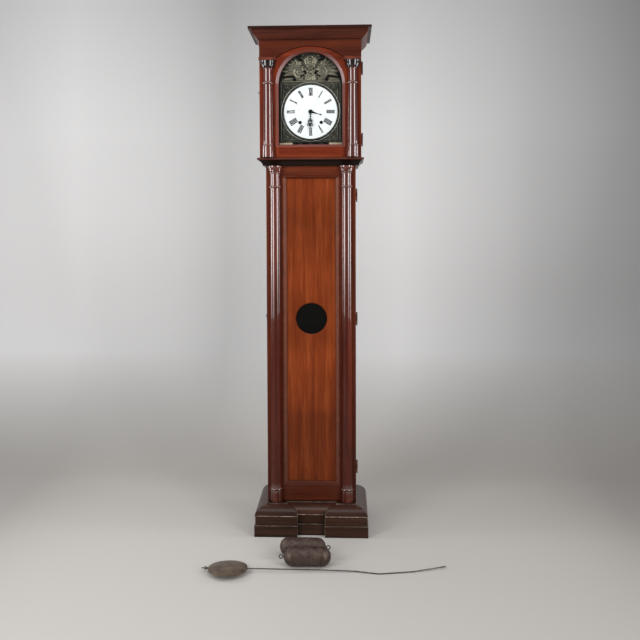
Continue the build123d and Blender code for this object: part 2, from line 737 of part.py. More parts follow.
# ---------------------------------------------------------------------------------------------- dial
def fronton():
    """Outline of the pierced scrollwork above the dial, from its foot."""
    shape = Pos(0, 5) * Rectangle(2 * mask_half - 8, 12)
    shape += Pos(0, 32) * Ellipse(26, 30)
    shape += Pos(0, 84) * Circle(36)
    for n in range(5):
        angle = radians(30 + 30 * n)
        shape += Pos(38 * cos(angle), 86 + 36 * sin(angle)) * Circle(8)
    for side in (-1, 1):
        shape += Pos(side * 50, 46) * (Circle(25) - Circle(15))
        shape += Pos(side * 52, 46) * Circle(8)
        shape += Pos(side * 50, 46) * Rotation(0, 0, side * 30) * Rectangle(34, 5)
        shape += Pos(side * 84, 24) * Rotation(0, 0, side * -24) * Ellipse(28, 15)
        shape += Pos(side * 66, 78) * Rotation(0, 0, side * -38) * Ellipse(27, 9)
        shape += Pos(side * 92, 50) * Rotation(0, 0, side * -58) * Ellipse(20, 8)
    return shape


def make_dial():
    mid = (mask_rise - mask_drop) / 2
    sheet = Pos(0, mid) * RectangleRounded(2 * mask_half, mask_rise + mask_drop, 5)
    sheet += Pos(0, mask_rise - 1) * fronton()
    sheet -= Circle(mask_opening_r)
    mask = forward(sheet, 0, mask_front + mask_t, dial_z, mask_t)
    feet_z = (seat_z + 42, cage_top - 28)
    for side in (-1, 1):
        for z in feet_z:
            mask += rod_y(side * (cage_half - pillar / 2), z, dial_foot_r, mask_front + mask_t, cage_front)
    save("dial_mask", mask)

    rim, crown = mask_front - dial_t, dial_crown
    half_sag = dial_dome * 0.25

    def dome(offset, inner):
        return ThreePointArc((inner, crown + offset), (dial_r / 2, crown + half_sag + offset), (dial_r, rim + offset))

    front_arc = dome(0, 0)
    section = make_face([
        front_arc, Line((dial_r, rim), (dial_r, rim + dial_t)), dome(dial_t, 0), Line((0, crown + dial_t), (0, crown)),
    ])
    plate = revolve(Plane(origin=(0, 0, dial_z)) * section, Axis((0, 0, dial_z), (0, 1, 0)), 360)
    plate -= rod_y(0, dial_z, dial_hole_r, crown - 5, mask_front + 5)
    for side in (-1, 1):
        plate -= rod_y(side * wind_x, wind_z, winding_hole_r, crown - 5, mask_front + 5)
    save("dial_plate", plate)

    lip_back = rim - 1.2
    top = mask_front - bezel_h
    ring = make_face([
        Line((bezel_in_r, lip_back), (dial_r + bezel_clear, lip_back)),
        Line((dial_r + bezel_clear, lip_back), (dial_r + bezel_clear, mask_front)),
        Line((dial_r + bezel_clear, mask_front), (bezel_out_r, mask_front)),
        Line((bezel_out_r, mask_front), (bezel_out_r, mask_front - 2)),
        ThreePointArc((bezel_out_r, mask_front - 2), (bezel_out_r - 2.2, top + 0.9), (bezel_out_r - bezel_land, top)),
        Line((bezel_out_r - bezel_land, top), (bezel_in_r, lip_back)),
    ])
    save("dial_bezel", revolve(Plane(origin=(0, 0, dial_z)) * ring, Axis((0, 0, dial_z), (0, 1, 0)), 360))


def make_hands():
    """Both hands with the pipes that carry them, and the wheels behind the dial."""
    tilt = 90 - minute_angle
    blade = Pos(minute_length / 2 + 1, 0) * Rectangle(minute_length - 2, 1.8)
    blade += Circle(hand_boss_r)
    blade += make_face(Polyline((6, -4), (18, -1.2), (18, 1.2), (6, 4), close=True))
    blade += Pos(22, 0) * Ellipse(3.4, 3.2) + Pos(32, 0) * Ellipse(5, 4.2)
    blade += Pos(45, 0) * (Circle(9) - Circle(5.2))
    for side in (-1, 1):
        blade += Pos(37.5, side * 6.5) * Circle(2.8) + Pos(56, side * 7) * (Circle(5.4) - Circle(2.6))
    blade += Pos(57, 0) * Ellipse(7, 3.2)
    blade += make_face(Polyline((60, -2.8), (minute_length, -0.4), (minute_length, 0.4), (60, 2.8), close=True))
    blade = Rot(0, 0, tilt) * (blade - Circle(cannon_pipe_r))
    hand = forward(blade, 0, minute_hand_y, dial_z, hand_t)
    hub = rod_y(0, dial_z, 4.6, minute_hand_y - hand_t - 1.6, minute_hand_y - hand_t)
    save("minute_hand", hand + (hub - rod_y(0, dial_z, arbor_r - 0.1 + running, -120, 0)))

    cannon_front, pinion_front = minute_hand_y - hand_t, minute_wheel_y - wheel_t - 1
    pipe = rod_y(0, dial_z, cannon_pipe_r, cannon_front, pinion_front)
    line = mesh_turns(0, dial_z, 0, dial_z + motion_centres, minute_teeth)
    pinion = toothed(cannon_leaves, minute_module, 0, minute_wheel_y + 1, dial_z, wheel_t + 2, 0, line[0])
    bore = rod_y(0, dial_z, arbor_r - 0.1 + running, -120, 0)
    save("cannon_pinion", (pipe + pinion) - bore)

    stud_z = dial_z + motion_centres
    wheel = toothed(minute_teeth, minute_module, 0, minute_wheel_y, stud_z, wheel_t - 1, arbor_r + running, line[1], arms=4)
    line = mesh_turns(0, stud_z, 0, dial_z, hour_teeth)
    pinion_back, pinion_front = minute_wheel_y - wheel_t + 1, hour_wheel_y - wheel_t - 0.5
    leaves = toothed(hour_leaves, hour_module, 0, pinion_back, stud_z, pinion_back - pinion_front,
                     arbor_r + running, line[0])
    save("minute_wheel", wheel + leaves)

    wheel = toothed(hour_teeth, hour_module, 0, hour_wheel_y, dial_z, wheel_t - 1, 0, line[1], arms=4)
    pipe_front = hour_hand_y - hand_t
    pipe = rod_y(0, dial_z, hour_pipe_r, pipe_front, cannon_top() - seat)
    save("hour_wheel", (wheel + pipe) - rod_y(0, dial_z, cannon_pipe_r + running, -120, 0))

    pointer = Pos(hour_length / 2, 0) * Rectangle(hour_length - 4, 1.9)
    pointer += Circle(hand_boss_r + 0.8)
    pointer += make_face(Polyline((6, -4.6), (30, -1.1), (30, 1.1), (6, 4.6), close=True))
    pointer += Pos(hour_length - 7, 0) * Ellipse(5, 2.6)
    pointer += make_face(Polyline((hour_length - 6, -1.6), (hour_length, -0.3), (hour_length, 0.3), (hour_length - 6, 1.6), close=True))
    pointer = Rot(0, 0, 90 - hour_angle) * (pointer - Circle(hour_pipe_r))
    save("hour_hand", forward(pointer, 0, hour_hand_y, dial_z, hand_t))


def cannon_top():
    """Front of the cannon pinion's leaves, where the hour wheel's pipe ends."""
    return minute_wheel_y + 1 - wheel_t - 2


# ---------------------------------------------------------------------------------------------- cage
bar_xs = (-wind_x, 0.0, wind_x)


def arbor_holes():
    """Every arbor that runs in the train bars: (x, z, radius)."""
    return [
        (wind_x, wind_z, barrel_arbor_r), (-wind_x, wind_z, barrel_arbor_r),
        (0, dial_z, arbor_r), (0, third_z, arbor_r), (0, escape_z, arbor_r), (0, anchor_z, arbor_r),
        (-wind_x, pin_z, arbor_r), (-wind_x, fly_z, arbor_r), (-wind_x, hammer_z, arbor_r),
    ]


def make_cage():
    plates = []
    for z in (seat_z, cage_top - cage_plate_t):
        plates.append(slab(-cage_half, cage_half, cage_front, cage_back, z, z + cage_plate_t))
    for side in (-1, 1):
        plates[0] -= slab(side * wind_x - 14, side * wind_x + 14, -18, 32, seat_z - 1, seat_z + 9)
    slot = slab(-wind_x - 34, -wind_x + 8, pin_wheel_y - 4, pin_wheel_y + 12, cage_top - 9, cage_top + 1)
    plates[1] -= slot
    save("cage_plates", *plates)

    low, high = seat_z + cage_plate_t, cage_top - cage_plate_t
    pillars = []
    for side in (-1, 1):
        for y in (cage_front, cage_back - pillar):
            ends = sorted((side * cage_half, side * (cage_half - pillar)))
            pillars.append(slab(ends[0], ends[1], y, y + pillar, low, high))
    save("cage_pillars", *pillars)

    bars = []
    for x in bar_xs:
        for front in (cage_front, back_bar_y):
            bar = slab(x - bar_w / 2, x + bar_w / 2, front, front + bar_t, low, high)
            for hole_x, hole_z, radius in arbor_holes():
                if abs(hole_x - x) < 1:
                    bar -= rod_y(hole_x, hole_z, radius + running, front - 1, front + bar_t + 1)
            bars.append(bar)
    stud_front = hour_wheel_y - wheel_t - 1.5
    bars[2] += rod_y(0, dial_z + motion_centres, arbor_r, stud_front, cage_front)
    save("train_bars", *bars)


def great_wheel(x, back, mesh_x, mesh_z, leaves_turn_only=False):
    """Great wheel that the click drives, loose on the drum's arbor."""
    turns = mesh_turns(x, wind_z, mesh_x, mesh_z, great_leaves)
    wheel = toothed(great_teeth, great_module, x, back, wind_z, wheel_t + 1, barrel_arbor_r + running, turns[0], arms=4)
    lever = make_face(Polyline((0, 0), (14, 3), (14, 6), (-3, 6), (-5, 3), close=True))
    tip_r = ratchet_r + seat
    lever = forward(Pos(-5, tip_r) * lever, x, back + ratchet_t, wind_z, ratchet_t)
    return wheel + lever


def drum(x, wheel_back):
    """Cord drum with its ratchet, arbor and winding square."""
    ratchet = []
    for n in range(ratchet_teeth):
        angle, step = 2 * pi * n / ratchet_teeth, 2 * pi / ratchet_teeth
        ratchet.append((ratchet_r * cos(angle), ratchet_r * sin(angle)))
        inner = ratchet_r - ratchet_depth
        ratchet.append((inner * cos(angle + 0.12 * step), inner * sin(angle + 0.12 * step)))
    start = wheel_back + ratchet_t + seat
    body = forward(make_face(Polyline(*ratchet, close=True)), x, start, wind_z, ratchet_t)
    body += rod_y(x, wind_z, drum_r, start, drum_end_y)
    body += rod_y(x, wind_z, drum_flange_r, drum_end_y, drum_end_y + drum_flange_t)
    body -= Pos(x, (start + drum_end_y) / 2, wind_z) * Rot(0, 90, 0) * Cylinder(cord_hole_r, 2 * drum_r + 9)
    body += rod_y(x, wind_z, barrel_arbor_r, cage_front - 0.5, back_bar_end)
    square_front = dial_crown + dial_t + 4
    body += slab(x - winding_square / 2, x + winding_square / 2, square_front, cage_front, wind_z - winding_square / 2,
                 wind_z + winding_square / 2)
    return body


def make_going_train():
    save("going_great_wheel", great_wheel(wind_x, going_wheel_y, 0, dial_z))
    save("going_drum", drum(wind_x, going_wheel_y))

    turns = mesh_turns(wind_x, wind_z, 0, dial_z, great_leaves)
    arbor = rod_y(0, dial_z, arbor_r, cage_front, back_bar_end)
    arbor += rod_y(0, dial_z, arbor_r - 0.1, minute_hand_y - hand_t - 2.4, cage_front)
    arbor += toothed(great_leaves, great_module, 0, going_wheel_y + 2, dial_z, wheel_t + 5, 0, turns[1])
    turns = mesh_turns(0, dial_z, 0, third_z, third_leaves)
    arbor += toothed(centre_teeth, centre_module, 0, centre_wheel_y, dial_z, wheel_t, 0, turns[0], arms=4)
    save("centre_arbor", arbor)

    arbor = rod_y(0, third_z, arbor_r, cage_front + 0.5, back_bar_end)
    arbor += toothed(third_leaves, centre_module, 0, centre_wheel_y + 1.5, third_z, wheel_t + 3, 0, turns[1])
    turns = mesh_turns(0, third_z, 0, escape_z, escape_leaves)
    arbor += toothed(third_teeth, third_module, 0, third_wheel_y, third_z, wheel_t, 0, turns[0], arms=4)
    save("third_arbor", arbor)

    arbor = rod_y(0, escape_z, arbor_r, cage_front + 0.5, back_bar_end)
    arbor += toothed(escape_leaves, third_module, 0, third_wheel_y + 1.5, escape_z, wheel_t + 3, 0, turns[1])
    arbor += forward(escape_outline() - crossings(6, escape_r - escape_tooth - 2.5, 4, 3), 0, escape_wheel_y, escape_z, escape_t)
    save("escape_arbor", arbor)


def escape_outline():
    """Thirty raked teeth; a gap lies under each pallet."""
    step = 360 / escape_teeth
    root = escape_r - escape_tooth
    lead = 90 + pallet_span + step / 2 - 1.5
    corners = []
    for n in range(escape_teeth):
        base = lead + n * step
        for radius, shift in ((escape_r, -0.5), (escape_r, 0.5), (root, step * 0.28), (root, step * 0.70)):
            corners.append((radius * cos(radians(base + shift)), radius * sin(radians(base + shift))))
    return make_face(Polyline(*corners, close=True))


def make_escapement():
    """Anchor, its arbor and the crutch, all one moving piece; and the fixed suspension."""
    reach = escape_r + pallet_clear
    arms = Circle(6)
    for side in (-1, 1):
        foot_x = side * reach * sin(radians(pallet_span))
        foot_z = escape_z + reach * cos(radians(pallet_span)) - anchor_z
        out = (sin(radians(pallet_span)) * side, cos(radians(pallet_span)))
        across = (out[1], -out[0])
        half = pallet_w / 2
        high = 9.0
        block = [
            (foot_x - across[0] * half, foot_z - across[1] * half), (foot_x + across[0] * half, foot_z + across[1] * half),
            (foot_x + across[0] * half + out[0] * high, foot_z + across[1] * half + out[1] * high),
            (foot_x - across[0] * half + out[0] * high, foot_z - across[1] * half + out[1] * high),
        ]
        arms += make_face(Polyline(*block, close=True))
        elbow = (foot_x + out[0] * (high - 2), foot_z + out[1] * (high - 2))
        bridge = [(0, 5), (0, -3), (elbow[0], elbow[1] - 3), (elbow[0] + side * 3, elbow[1]), (elbow[0], elbow[1] + 3)]
        arms += make_face(Polyline(*bridge, close=True))
    body = forward(arms, 0, escape_wheel_y + 0.5, anchor_z, pallet_t)
    body += rod_y(0, anchor_z, arbor_r, cage_front + 0.5, back_bar_end + 9)
    crutch_y = back_bar_end + 6
    body += slab(-2.5, 2.5, crutch_y, crutch_y + 3, anchor_z - crutch_drop, anchor_z)
    body += rod_y(0, anchor_z, 5, crutch_y, crutch_y + 3)
    foot_z = anchor_z - crutch_drop
    body += slab(-crutch_gap - 3, crutch_gap + 3, crutch_y, crutch_y + 3, foot_z - 3, foot_z + 3)
    for side in (-1, 1):
        ends = sorted((side * crutch_gap, side * (crutch_gap + 3)))
        body += slab(ends[0], ends[1], crutch_y, suspension_y + 7, foot_z - 3, foot_z + 3)
    save("anchor", body)

    cock = slab(-9, 9, cage_back - 24, suspension_y + 5, cage_top, cage_top + 7)
    spring = slab(-4, 4, suspension_y - 0.4, suspension_y + 0.4, cage_top - spring_h, cage_top)
    block = slab(-6, 6, suspension_y - 3, suspension_y + 3, cage_top - spring_h - 16, cage_top - spring_h)
    block -= rod_y(0, cage_top - spring_h - 9, 2.5, suspension_y - 9, suspension_y + 9)
    save("suspension", cock + spring + block)


def make_strike_train():
    save("strike_great_wheel", great_wheel(-wind_x, strike_wheel_y, -wind_x, pin_z))
    save("strike_drum", drum(-wind_x, strike_wheel_y))

    turns = mesh_turns(-wind_x, wind_z, -wind_x, pin_z, great_leaves)
    arbor = rod_y(-wind_x, pin_z, arbor_r, cage_front + 0.5, back_bar_end)
    arbor += toothed(great_leaves, great_module, -wind_x, strike_wheel_y + 2, pin_z, wheel_t + 5, 0, turns[1])
    turns = mesh_turns(-wind_x, pin_z, -wind_x, fly_z, fly_leaves)
    arbor += toothed(pin_teeth, third_module, -wind_x, pin_wheel_y, pin_z, wheel_t, 0, turns[0], arms=4)
    for n in range(pin_count):
        angle = radians(22.5 + 360 / pin_count * n)
        x, z = -wind_x + pin_circle_r * cos(angle), pin_z + pin_circle_r * sin(angle)
        arbor += rod_y(x, z, lift_pin_r, pin_wheel_y, pin_wheel_y + 5)
    save("pin_wheel", arbor)

    fly = rod_y(-wind_x, fly_z, arbor_r, cage_front + 0.5, back_bar_end)
    fly += toothed(fly_leaves, third_module, -wind_x, pin_wheel_y + 1.5, fly_z, wheel_t + 3, 0, turns[1])
    save("fly_arbor", fly)
    vane = slab(-wind_x - fly_half, -wind_x + fly_half, fly_y, fly_y + fly_w, fly_z - fly_t / 2, fly_z + fly_t / 2)
    sleeve = rod_y(-wind_x, fly_z, arbor_r + 2, fly_y, fly_y + fly_w)
    save("fly", (vane + sleeve) - rod_y(-wind_x, fly_z, arbor_r + running, fly_y - 1, fly_y + fly_w + 1))

    head_x, head_z = -bell_r - 10.5, cage_top + bell_lift + 8
    tail = [(3, hammer_z), (17, fly_z), (25, pin_z + 13), (25.5, pin_z + 8.5), (21, pin_z + 9.2), (21.5, pin_z + 13),
            (13, fly_z), (-3, hammer_z - 2)]
    tail = make_face(Polyline(*[(x - wind_x, z) for x, z in tail], close=True))
    arm = [(-wind_x - 2, hammer_z), (head_x - 2, head_z - 4), (head_x + 3, head_z - 4), (-wind_x + 2, hammer_z)]
    flat = tail + make_face(Polyline(*arm, close=True)) + Pos(-wind_x, hammer_z) * Circle(5)
    hammer = forward(flat, 0, pin_wheel_y + 4, 0, 3)
    hammer += rod_y(-wind_x, hammer_z, arbor_r, cage_front + 0.5, back_bar_end)
    hammer += Pos(head_x, pin_wheel_y + 2.5, head_z) * Rot(0, 90, 0) * Cylinder(8, 18)
    save("hammer", hammer)


def make_bell():
    mouth = cage_top + bell_lift
    crown = mouth + bell_h
    outer = [(mouth, bell_r), (mouth + 8, bell_r - 5), (mouth + bell_h * 0.6, bell_r * 0.75), (crown - 3, bell_r * 0.5), (crown, bell_r * 0.3)]
    inner = [(mouth - 1, bell_r - bell_t), (mouth + 8, bell_r - 5 - bell_t), (mouth + bell_h * 0.6, bell_r * 0.75 - bell_t),
             (crown - 3 - bell_t, bell_r * 0.5 - bell_t), (crown - bell_t, bell_r * 0.3)]
    shell = round_about(outer, 0, bell_y) - round_about(inner, 0, bell_y)
    shell -= Pos(0, bell_y, crown) * Cylinder(bell_post_r - 1, bell_h)
    save("bell", shell)
    post = round_about([(cage_top, 8), (cage_top + 4, 8), (cage_top + 5, bell_post_r), (crown - bell_t, bell_post_r),
                        (crown - bell_t, bell_post_r - 1), (crown, bell_post_r - 1), (crown, 7), (crown + 6, 5)], 0, bell_y)
    save("bell_stand", post)


# ----------------------------------------------------------------------------- pieces off the clock
def weight(place, ring_side):
    """Cast-iron weight lying on its side, ring at one end."""
    straight = weight_length / 2 - weight_end
    neck_r = ring_wire_r + 1.5
    lift = degrees(asin(neck_r / weight_r))
    reach = straight + weight_end * cos(radians(lift))
    neck_end = weight_length / 2 + 4
    half = make_face([
        Line((-reach, 0), (neck_end, 0)),
        Line((neck_end, 0), (neck_end, neck_r)),
        Line((neck_end, neck_r), (reach, neck_r)),
        EllipticalCenterArc((straight, 0), weight_end, weight_r, lift, arc_size=90 - lift),
        Line((straight, weight_r), (-straight, weight_r)),
        EllipticalCenterArc((-straight, 0), weight_end, weight_r, 90, arc_size=90 - lift),
        Line((-reach, neck_r), (-reach, 0)),
    ])
    body = revolve(half, Axis.X, 360)
    loop = Pos(neck_end - 1 + ring_r, 0, 0) * Rot(90, 0, 0) * Torus(ring_r, ring_wire_r)
    turn = place[2] + (0 if ring_side > 0 else 180)
    return Pos(place[0], place[1], weight_r) * Rot(0, 0, turn) * (body + loop)


def make_loose_pieces():
    save("weight_left", weight(weight_left_place, -1))
    save("weight_right", weight(weight_right_place, 1))

    sag = (bob_t - bob_edge_t) / 2
    half = bob_edge_t / 2
    section = make_face([
        Line((0, -bob_t / 2), (bob_flat_r, -bob_t / 2)),
        ThreePointArc((bob_flat_r, -bob_t / 2), (bob_r / 2, -half - sag * 0.75), (bob_r, -half)),
        Line((bob_r, -half), (bob_r, half)),
        ThreePointArc((bob_r, half), (bob_r / 2, half + sag * 0.75), (bob_flat_r, bob_t / 2)),
        Line((bob_flat_r, bob_t / 2), (0, bob_t / 2)),
        Line((0, bob_t / 2), (0, -bob_t / 2)),
    ])
    lens = revolve(Plane(origin=(0, 0, 0), x_dir=(0, 1, 0), z_dir=(1, 0, 0)) * section, Axis.Z, 360)
    lens -= Rot(0, 90, 0) * Cylinder(rod_r + running, 2 * bob_r + 9)
    lens = Rot(bob_lean, 0, 0) * lens
    bob_z = -lens.bounding_box().min.Z
    save("pendulum_bob", Pos(bob_place[0], bob_place[1], bob_z) * lens)

    start = (bob_place[0], bob_place[1], bob_z)
    near = (bob_place[0] + bob_r + 60, bob_place[1], bob_z)
    points = [(start[0] - bob_r - 26, start[1], start[2]), near] + rod_route + [rod_end]
    route = FilletPolyline(*points, radius=90)
    section = Plane(origin=points[0], x_dir=(0, 1, 0), z_dir=(1, 0, 0)) * Circle(rod_r)
    rod = sweep(section, path=route)
    flat = Pos(*rod_end) * Rot(0, 0, degrees(atan2(rod_end[1] - rod_route[-1][1], rod_end[0] - rod_route[-1][0]))) * (
        Pos(6, 0, 0) * Box(22, 5, 2.4) - Pos(8, 0, 0) * Box(12, 1.8, 9))
    save("pendulum_rod", rod + flat)

    nut_x = start[0] - bob_r - 6
    nut = Pos(nut_x, start[1], start[2]) * Rot(0, 90, 0) * (Cylinder(4.2, 10) + Pos(0, 0, -5.5) * Cylinder(rating_r, 3))
    nut -= Pos(nut_x, start[1], start[2]) * Rot(0, 90, 0) * Cylinder(rod_r + running, 60)
    save("rating_nut", nut)


def main():
    os.makedirs("parts", exist_ok=True)
    make_plinth()
    make_carcass()
    make_trunk_door()
    make_hood_door()
    make_hinges_and_hooks()
    make_dial()
    make_hands()
    make_cage()
    make_going_train()
    make_escapement()
    make_strike_train()
    make_bell()
    make_loose_pieces()


main()
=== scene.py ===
from math import cos, pi, radians, sin

import bmesh
import bpy
import numpy as np
from mathutils import Euler, Matrix, Vector


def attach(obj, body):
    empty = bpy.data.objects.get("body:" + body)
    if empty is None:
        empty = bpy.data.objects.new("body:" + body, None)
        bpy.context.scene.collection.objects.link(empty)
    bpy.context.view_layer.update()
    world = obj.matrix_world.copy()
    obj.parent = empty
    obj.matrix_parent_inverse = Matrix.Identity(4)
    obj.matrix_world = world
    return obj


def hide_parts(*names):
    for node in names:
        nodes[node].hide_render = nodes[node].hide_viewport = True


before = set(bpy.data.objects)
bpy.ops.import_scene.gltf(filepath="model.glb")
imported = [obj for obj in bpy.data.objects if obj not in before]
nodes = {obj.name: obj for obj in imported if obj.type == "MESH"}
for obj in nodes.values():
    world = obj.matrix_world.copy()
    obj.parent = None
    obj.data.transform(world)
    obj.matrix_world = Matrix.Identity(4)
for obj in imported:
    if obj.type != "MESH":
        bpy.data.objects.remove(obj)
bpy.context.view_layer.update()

print("frame loaded:", len(nodes), "nodes")


def linear(hexText):
    channels = [int(hexText[i:i + 2], 16) / 255 for i in (0, 2, 4)]
    return tuple(c / 12.92 if c <= 0.04045 else ((c + 0.055) / 1.055) ** 2.4 for c in channels) + (1.0,)


def addNode(tree, kind, inputs=None, stops=None, **settings):
    made = tree.nodes.new(kind)
    for key, value in settings.items():
        setattr(made, key, value)
    for key, value in (inputs or {}).items():
        if isinstance(value, bpy.types.NodeSocket):
            tree.links.new(value, made.inputs[key])
        else:
            made.inputs[key].default_value = value
    if stops:  # the marks of a colour ramp: a place from 0 to 1, then a grey or a hex colour
        band = made.color_ramp
        while len(band.elements) < len(stops):
            band.elements.new(0.5)
        for element, (mark, tone) in zip(band.elements, stops):
            element.position = mark
            element.color = linear(tone) if isinstance(tone, str) else (tone, tone, tone, 1)
    return made


def newMaterial(name, **surface):
    material = bpy.data.materials.new(name)
    material.use_nodes = True
    tree = material.node_tree
    tree.nodes.clear()
    shader = addNode(tree, "ShaderNodeBsdfPrincipled", surface)
    addNode(tree, "ShaderNodeOutputMaterial", {"Surface": shader.outputs["BSDF"]})
    return material, tree, shader


def addMesh(name, mesh, material, smooth=True):
    data = bpy.data.meshes.new(name)
    mesh.to_mesh(data)
    mesh.free()
    made = bpy.data.objects.new(name, data)
    bpy.context.scene.collection.objects.link(made)
    data.materials.append(material)
    for face in data.polygons:
        face.use_smooth = smooth
    return made


def dress(node, material):
    for place in nodes[node].material_slots:
        place.material = material


def makePiece(name, mesh, material, body, smooth=True):
    piece = addMesh(name, mesh, material, smooth)
    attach(piece, body)
    return piece


# the camera stands a little right of the clock's middle, above half its height, and its lens is shifted down
cameraView = {"picturePixels": 640, "filmMm": 36, "focalPixels": 713.33, "place": (0.1458, -3.1145, 1.3148),
              "yaw": 0.0358, "down": 0.0372, "roll": 0.0031, "riseShift": -0.1108}

lens = bpy.data.cameras.new("viewCamera")
lens.sensor_width = cameraView["filmMm"]
lens.lens = cameraView["focalPixels"] / cameraView["picturePixels"] * cameraView["filmMm"]
lens.shift_y = cameraView["riseShift"]
camera = bpy.data.objects.new("viewCamera", lens)
camera.location = cameraView["place"]
camera.rotation_euler = Euler((pi / 2 - cameraView["down"], cameraView["roll"], cameraView["yaw"]), "XYZ")
bpy.context.scene.collection.objects.link(camera)
bpy.context.scene.camera = camera
bpy.context.scene.view_settings.view_transform = "Standard"

# tall softboxes in front draw the bright lines on the columns, slim strips at the sides light the chamfers
softLights = {
    "leftSoftbox": {"place": (-2.15, -2.35, 1.64), "aim": (0, -0.1, 1.3), "size": (1.15, 2.3), "power": 60},
    "rightSoftbox": {"place": (2.25, -2.35, 1.64), "aim": (0, -0.1, 1.3), "size": (1.0, 2.3), "power": 54},
    "leftStrip": {"place": (-1.75, -0.16, 1.3), "aim": (0, -0.13, 1.75), "size": (0.3, 1.2), "power": 15},
    "rightStrip": {"place": (1.75, -0.16, 1.3), "aim": (0, -0.13, 1.75), "size": (0.3, 1.2), "power": 14},
    "topSoftbox": {"place": (0, -1.2, 3.5), "aim": (0, -0.4, 0), "size": (3.2, 2.2), "power": 34},
}
fillLight = {"colour": "f2f4f6", "strength": 0.25}
for name, light in softLights.items():
    lamp = bpy.data.lights.new(name, "AREA")
    lamp.shape = "RECTANGLE"
    lamp.size, lamp.size_y = light["size"]
    lamp.energy = light["power"]
    holder = bpy.data.objects.new(name, lamp)
    holder.location = light["place"]
    towards = Vector(light["aim"]) - Vector(light["place"])
    holder.rotation_euler = towards.to_track_quat("-Z", "Y").to_euler()
    holder.visible_camera = False
    bpy.context.scene.collection.objects.link(holder)

world = bpy.data.worlds.new("studioRoom")
world.use_nodes = True
world.node_tree.nodes.clear()
around = addNode(world.node_tree, "ShaderNodeBackground", {"Color": linear(fillLight["colour"]),
                                                           "Strength": fillLight["strength"]})
addNode(world.node_tree, "ShaderNodeOutputWorld", {"Surface": around.outputs[0]})
bpy.context.scene.world = world

# matt pale grey studio paint on one sweep of floor and wall, with light and shade painted over it: lighter left
# of the clock, a painted soft shadow just left of it, darker at the far right, darker high up and further back
# on the floor
room = {"front": -6.0, "curveStart": 0.55, "curveRadius": 0.9, "curveSteps": 24, "height": 4.5,
        "halfWidth": 6.0, "paint": "f0efef", "rough": 0.85, "shadeReach": 2.2,
        "wallShade": [(0.04, 1.0), (0.14, 0.98), (0.29, 0.68), (0.36, 0.51), (0.61, 0.71), (0.76, 0.63),
                      (0.95, 0.42)],
        "floorShade": [(0.0, "cbc8c3"), (0.45, "cac7c2"), (1.0, "a8a49f")], "mixFrom": 0.02, "mixTo": 0.5,
        "heightShade": [(0.0, 0.92), (0.3, 0.97), (0.5, 1.0), (0.7, 1.0), (1.0, 0.84)], "heightReach": 2.7,
        "depthShade": [(0.0, 1.0), (0.6, 0.88), (1.0, 0.8)], "depthFrom": -1.0, "depthTo": 0.9}
paint, tree, shader = newMaterial("mattStudioPaintWithPaintedLight", **{"Roughness": room["rough"]})
spot = addNode(tree, "ShaderNodeSeparateXYZ", {0: addNode(tree, "ShaderNodeTexCoord").outputs["Object"]})
across = addNode(tree, "ShaderNodeMapRange", {"Value": spot.outputs["X"], "From Min": -room["shadeReach"],
                                              "From Max": room["shadeReach"]})
wall = addNode(tree, "ShaderNodeValToRGB", {"Fac": across.outputs[0]}, stops=room["wallShade"])
ground = addNode(tree, "ShaderNodeValToRGB", {"Fac": across.outputs[0]}, stops=room["floorShade"])
rise = addNode(tree, "ShaderNodeMapRange", {"Value": spot.outputs["Z"], "From Min": room["mixFrom"],
                                            "From Max": room["mixTo"]})
up = addNode(tree, "ShaderNodeMapRange", {"Value": spot.outputs["Z"], "From Max": room["heightReach"]})
back = addNode(tree, "ShaderNodeMapRange", {"Value": spot.outputs["Y"], "From Min": room["depthFrom"],
                                            "From Max": room["depthTo"]})
higher = addNode(tree, "ShaderNodeValToRGB", {"Fac": up.outputs[0]}, stops=room["heightShade"])
further = addNode(tree, "ShaderNodeValToRGB", {"Fac": back.outputs[0]}, stops=room["depthShade"])
shade = addNode(tree, "ShaderNodeMix", {0: rise.outputs[0], 6: ground.outputs[0], 7: wall.outputs[0]},
                data_type="RGBA")
fall = addNode(tree, "ShaderNodeMix", {0: rise.outputs[0], 6: further.outputs[0], 7: higher.outputs[0]},
               data_type="RGBA")
shade = addNode(tree, "ShaderNodeMix", {0: 1.0, 6: shade.outputs[2], 7: fall.outputs[2]}, data_type="RGBA",
                blend_type="MULTIPLY")
shade = addNode(tree, "ShaderNodeMix", {0: 1.0, 6: shade.outputs[2], 7: linear(room["paint"])},
                data_type="RGBA", blend_type="MULTIPLY")
tree.links.new(shade.outputs[2], shader.inputs["Base Color"])
sweep = bmesh.new()
ends = [sweep.verts.new((side * room["halfWidth"], room["front"], 0)) for side in (-1, 1)]
out = bmesh.ops.extrude_edge_only(sweep, edges=[sweep.edges.new(ends)])
drawn = [v for v in out["geom"] if isinstance(v, bmesh.types.BMVert)]
bmesh.ops.translate(sweep, verts=drawn, vec=(0, room["curveStart"] - room["front"], 0))
last = [e for e in sweep.edges if all(abs(v.co.y - room["curveStart"]) < 1e-6 for v in e.verts)]
out = bmesh.ops.spin(sweep, geom=last, cent=(0, room["curveStart"], room["curveRadius"]), axis=(1, 0, 0),
                     angle=pi / 2, steps=room["curveSteps"], use_merge=False)
last = [e for e in out["geom_last"] if isinstance(e, bmesh.types.BMEdge)]
out = bmesh.ops.extrude_edge_only(sweep, edges=last)
drawn = [v for v in out["geom"] if isinstance(v, bmesh.types.BMVert)]
bmesh.ops.translate(sweep, verts=drawn, vec=(0, 0, room["height"]))
bmesh.ops.recalc_face_normals(sweep, faces=sweep.faces)
studio = addMesh("studioSweep", sweep, paint)
print("camera, lights and room set")


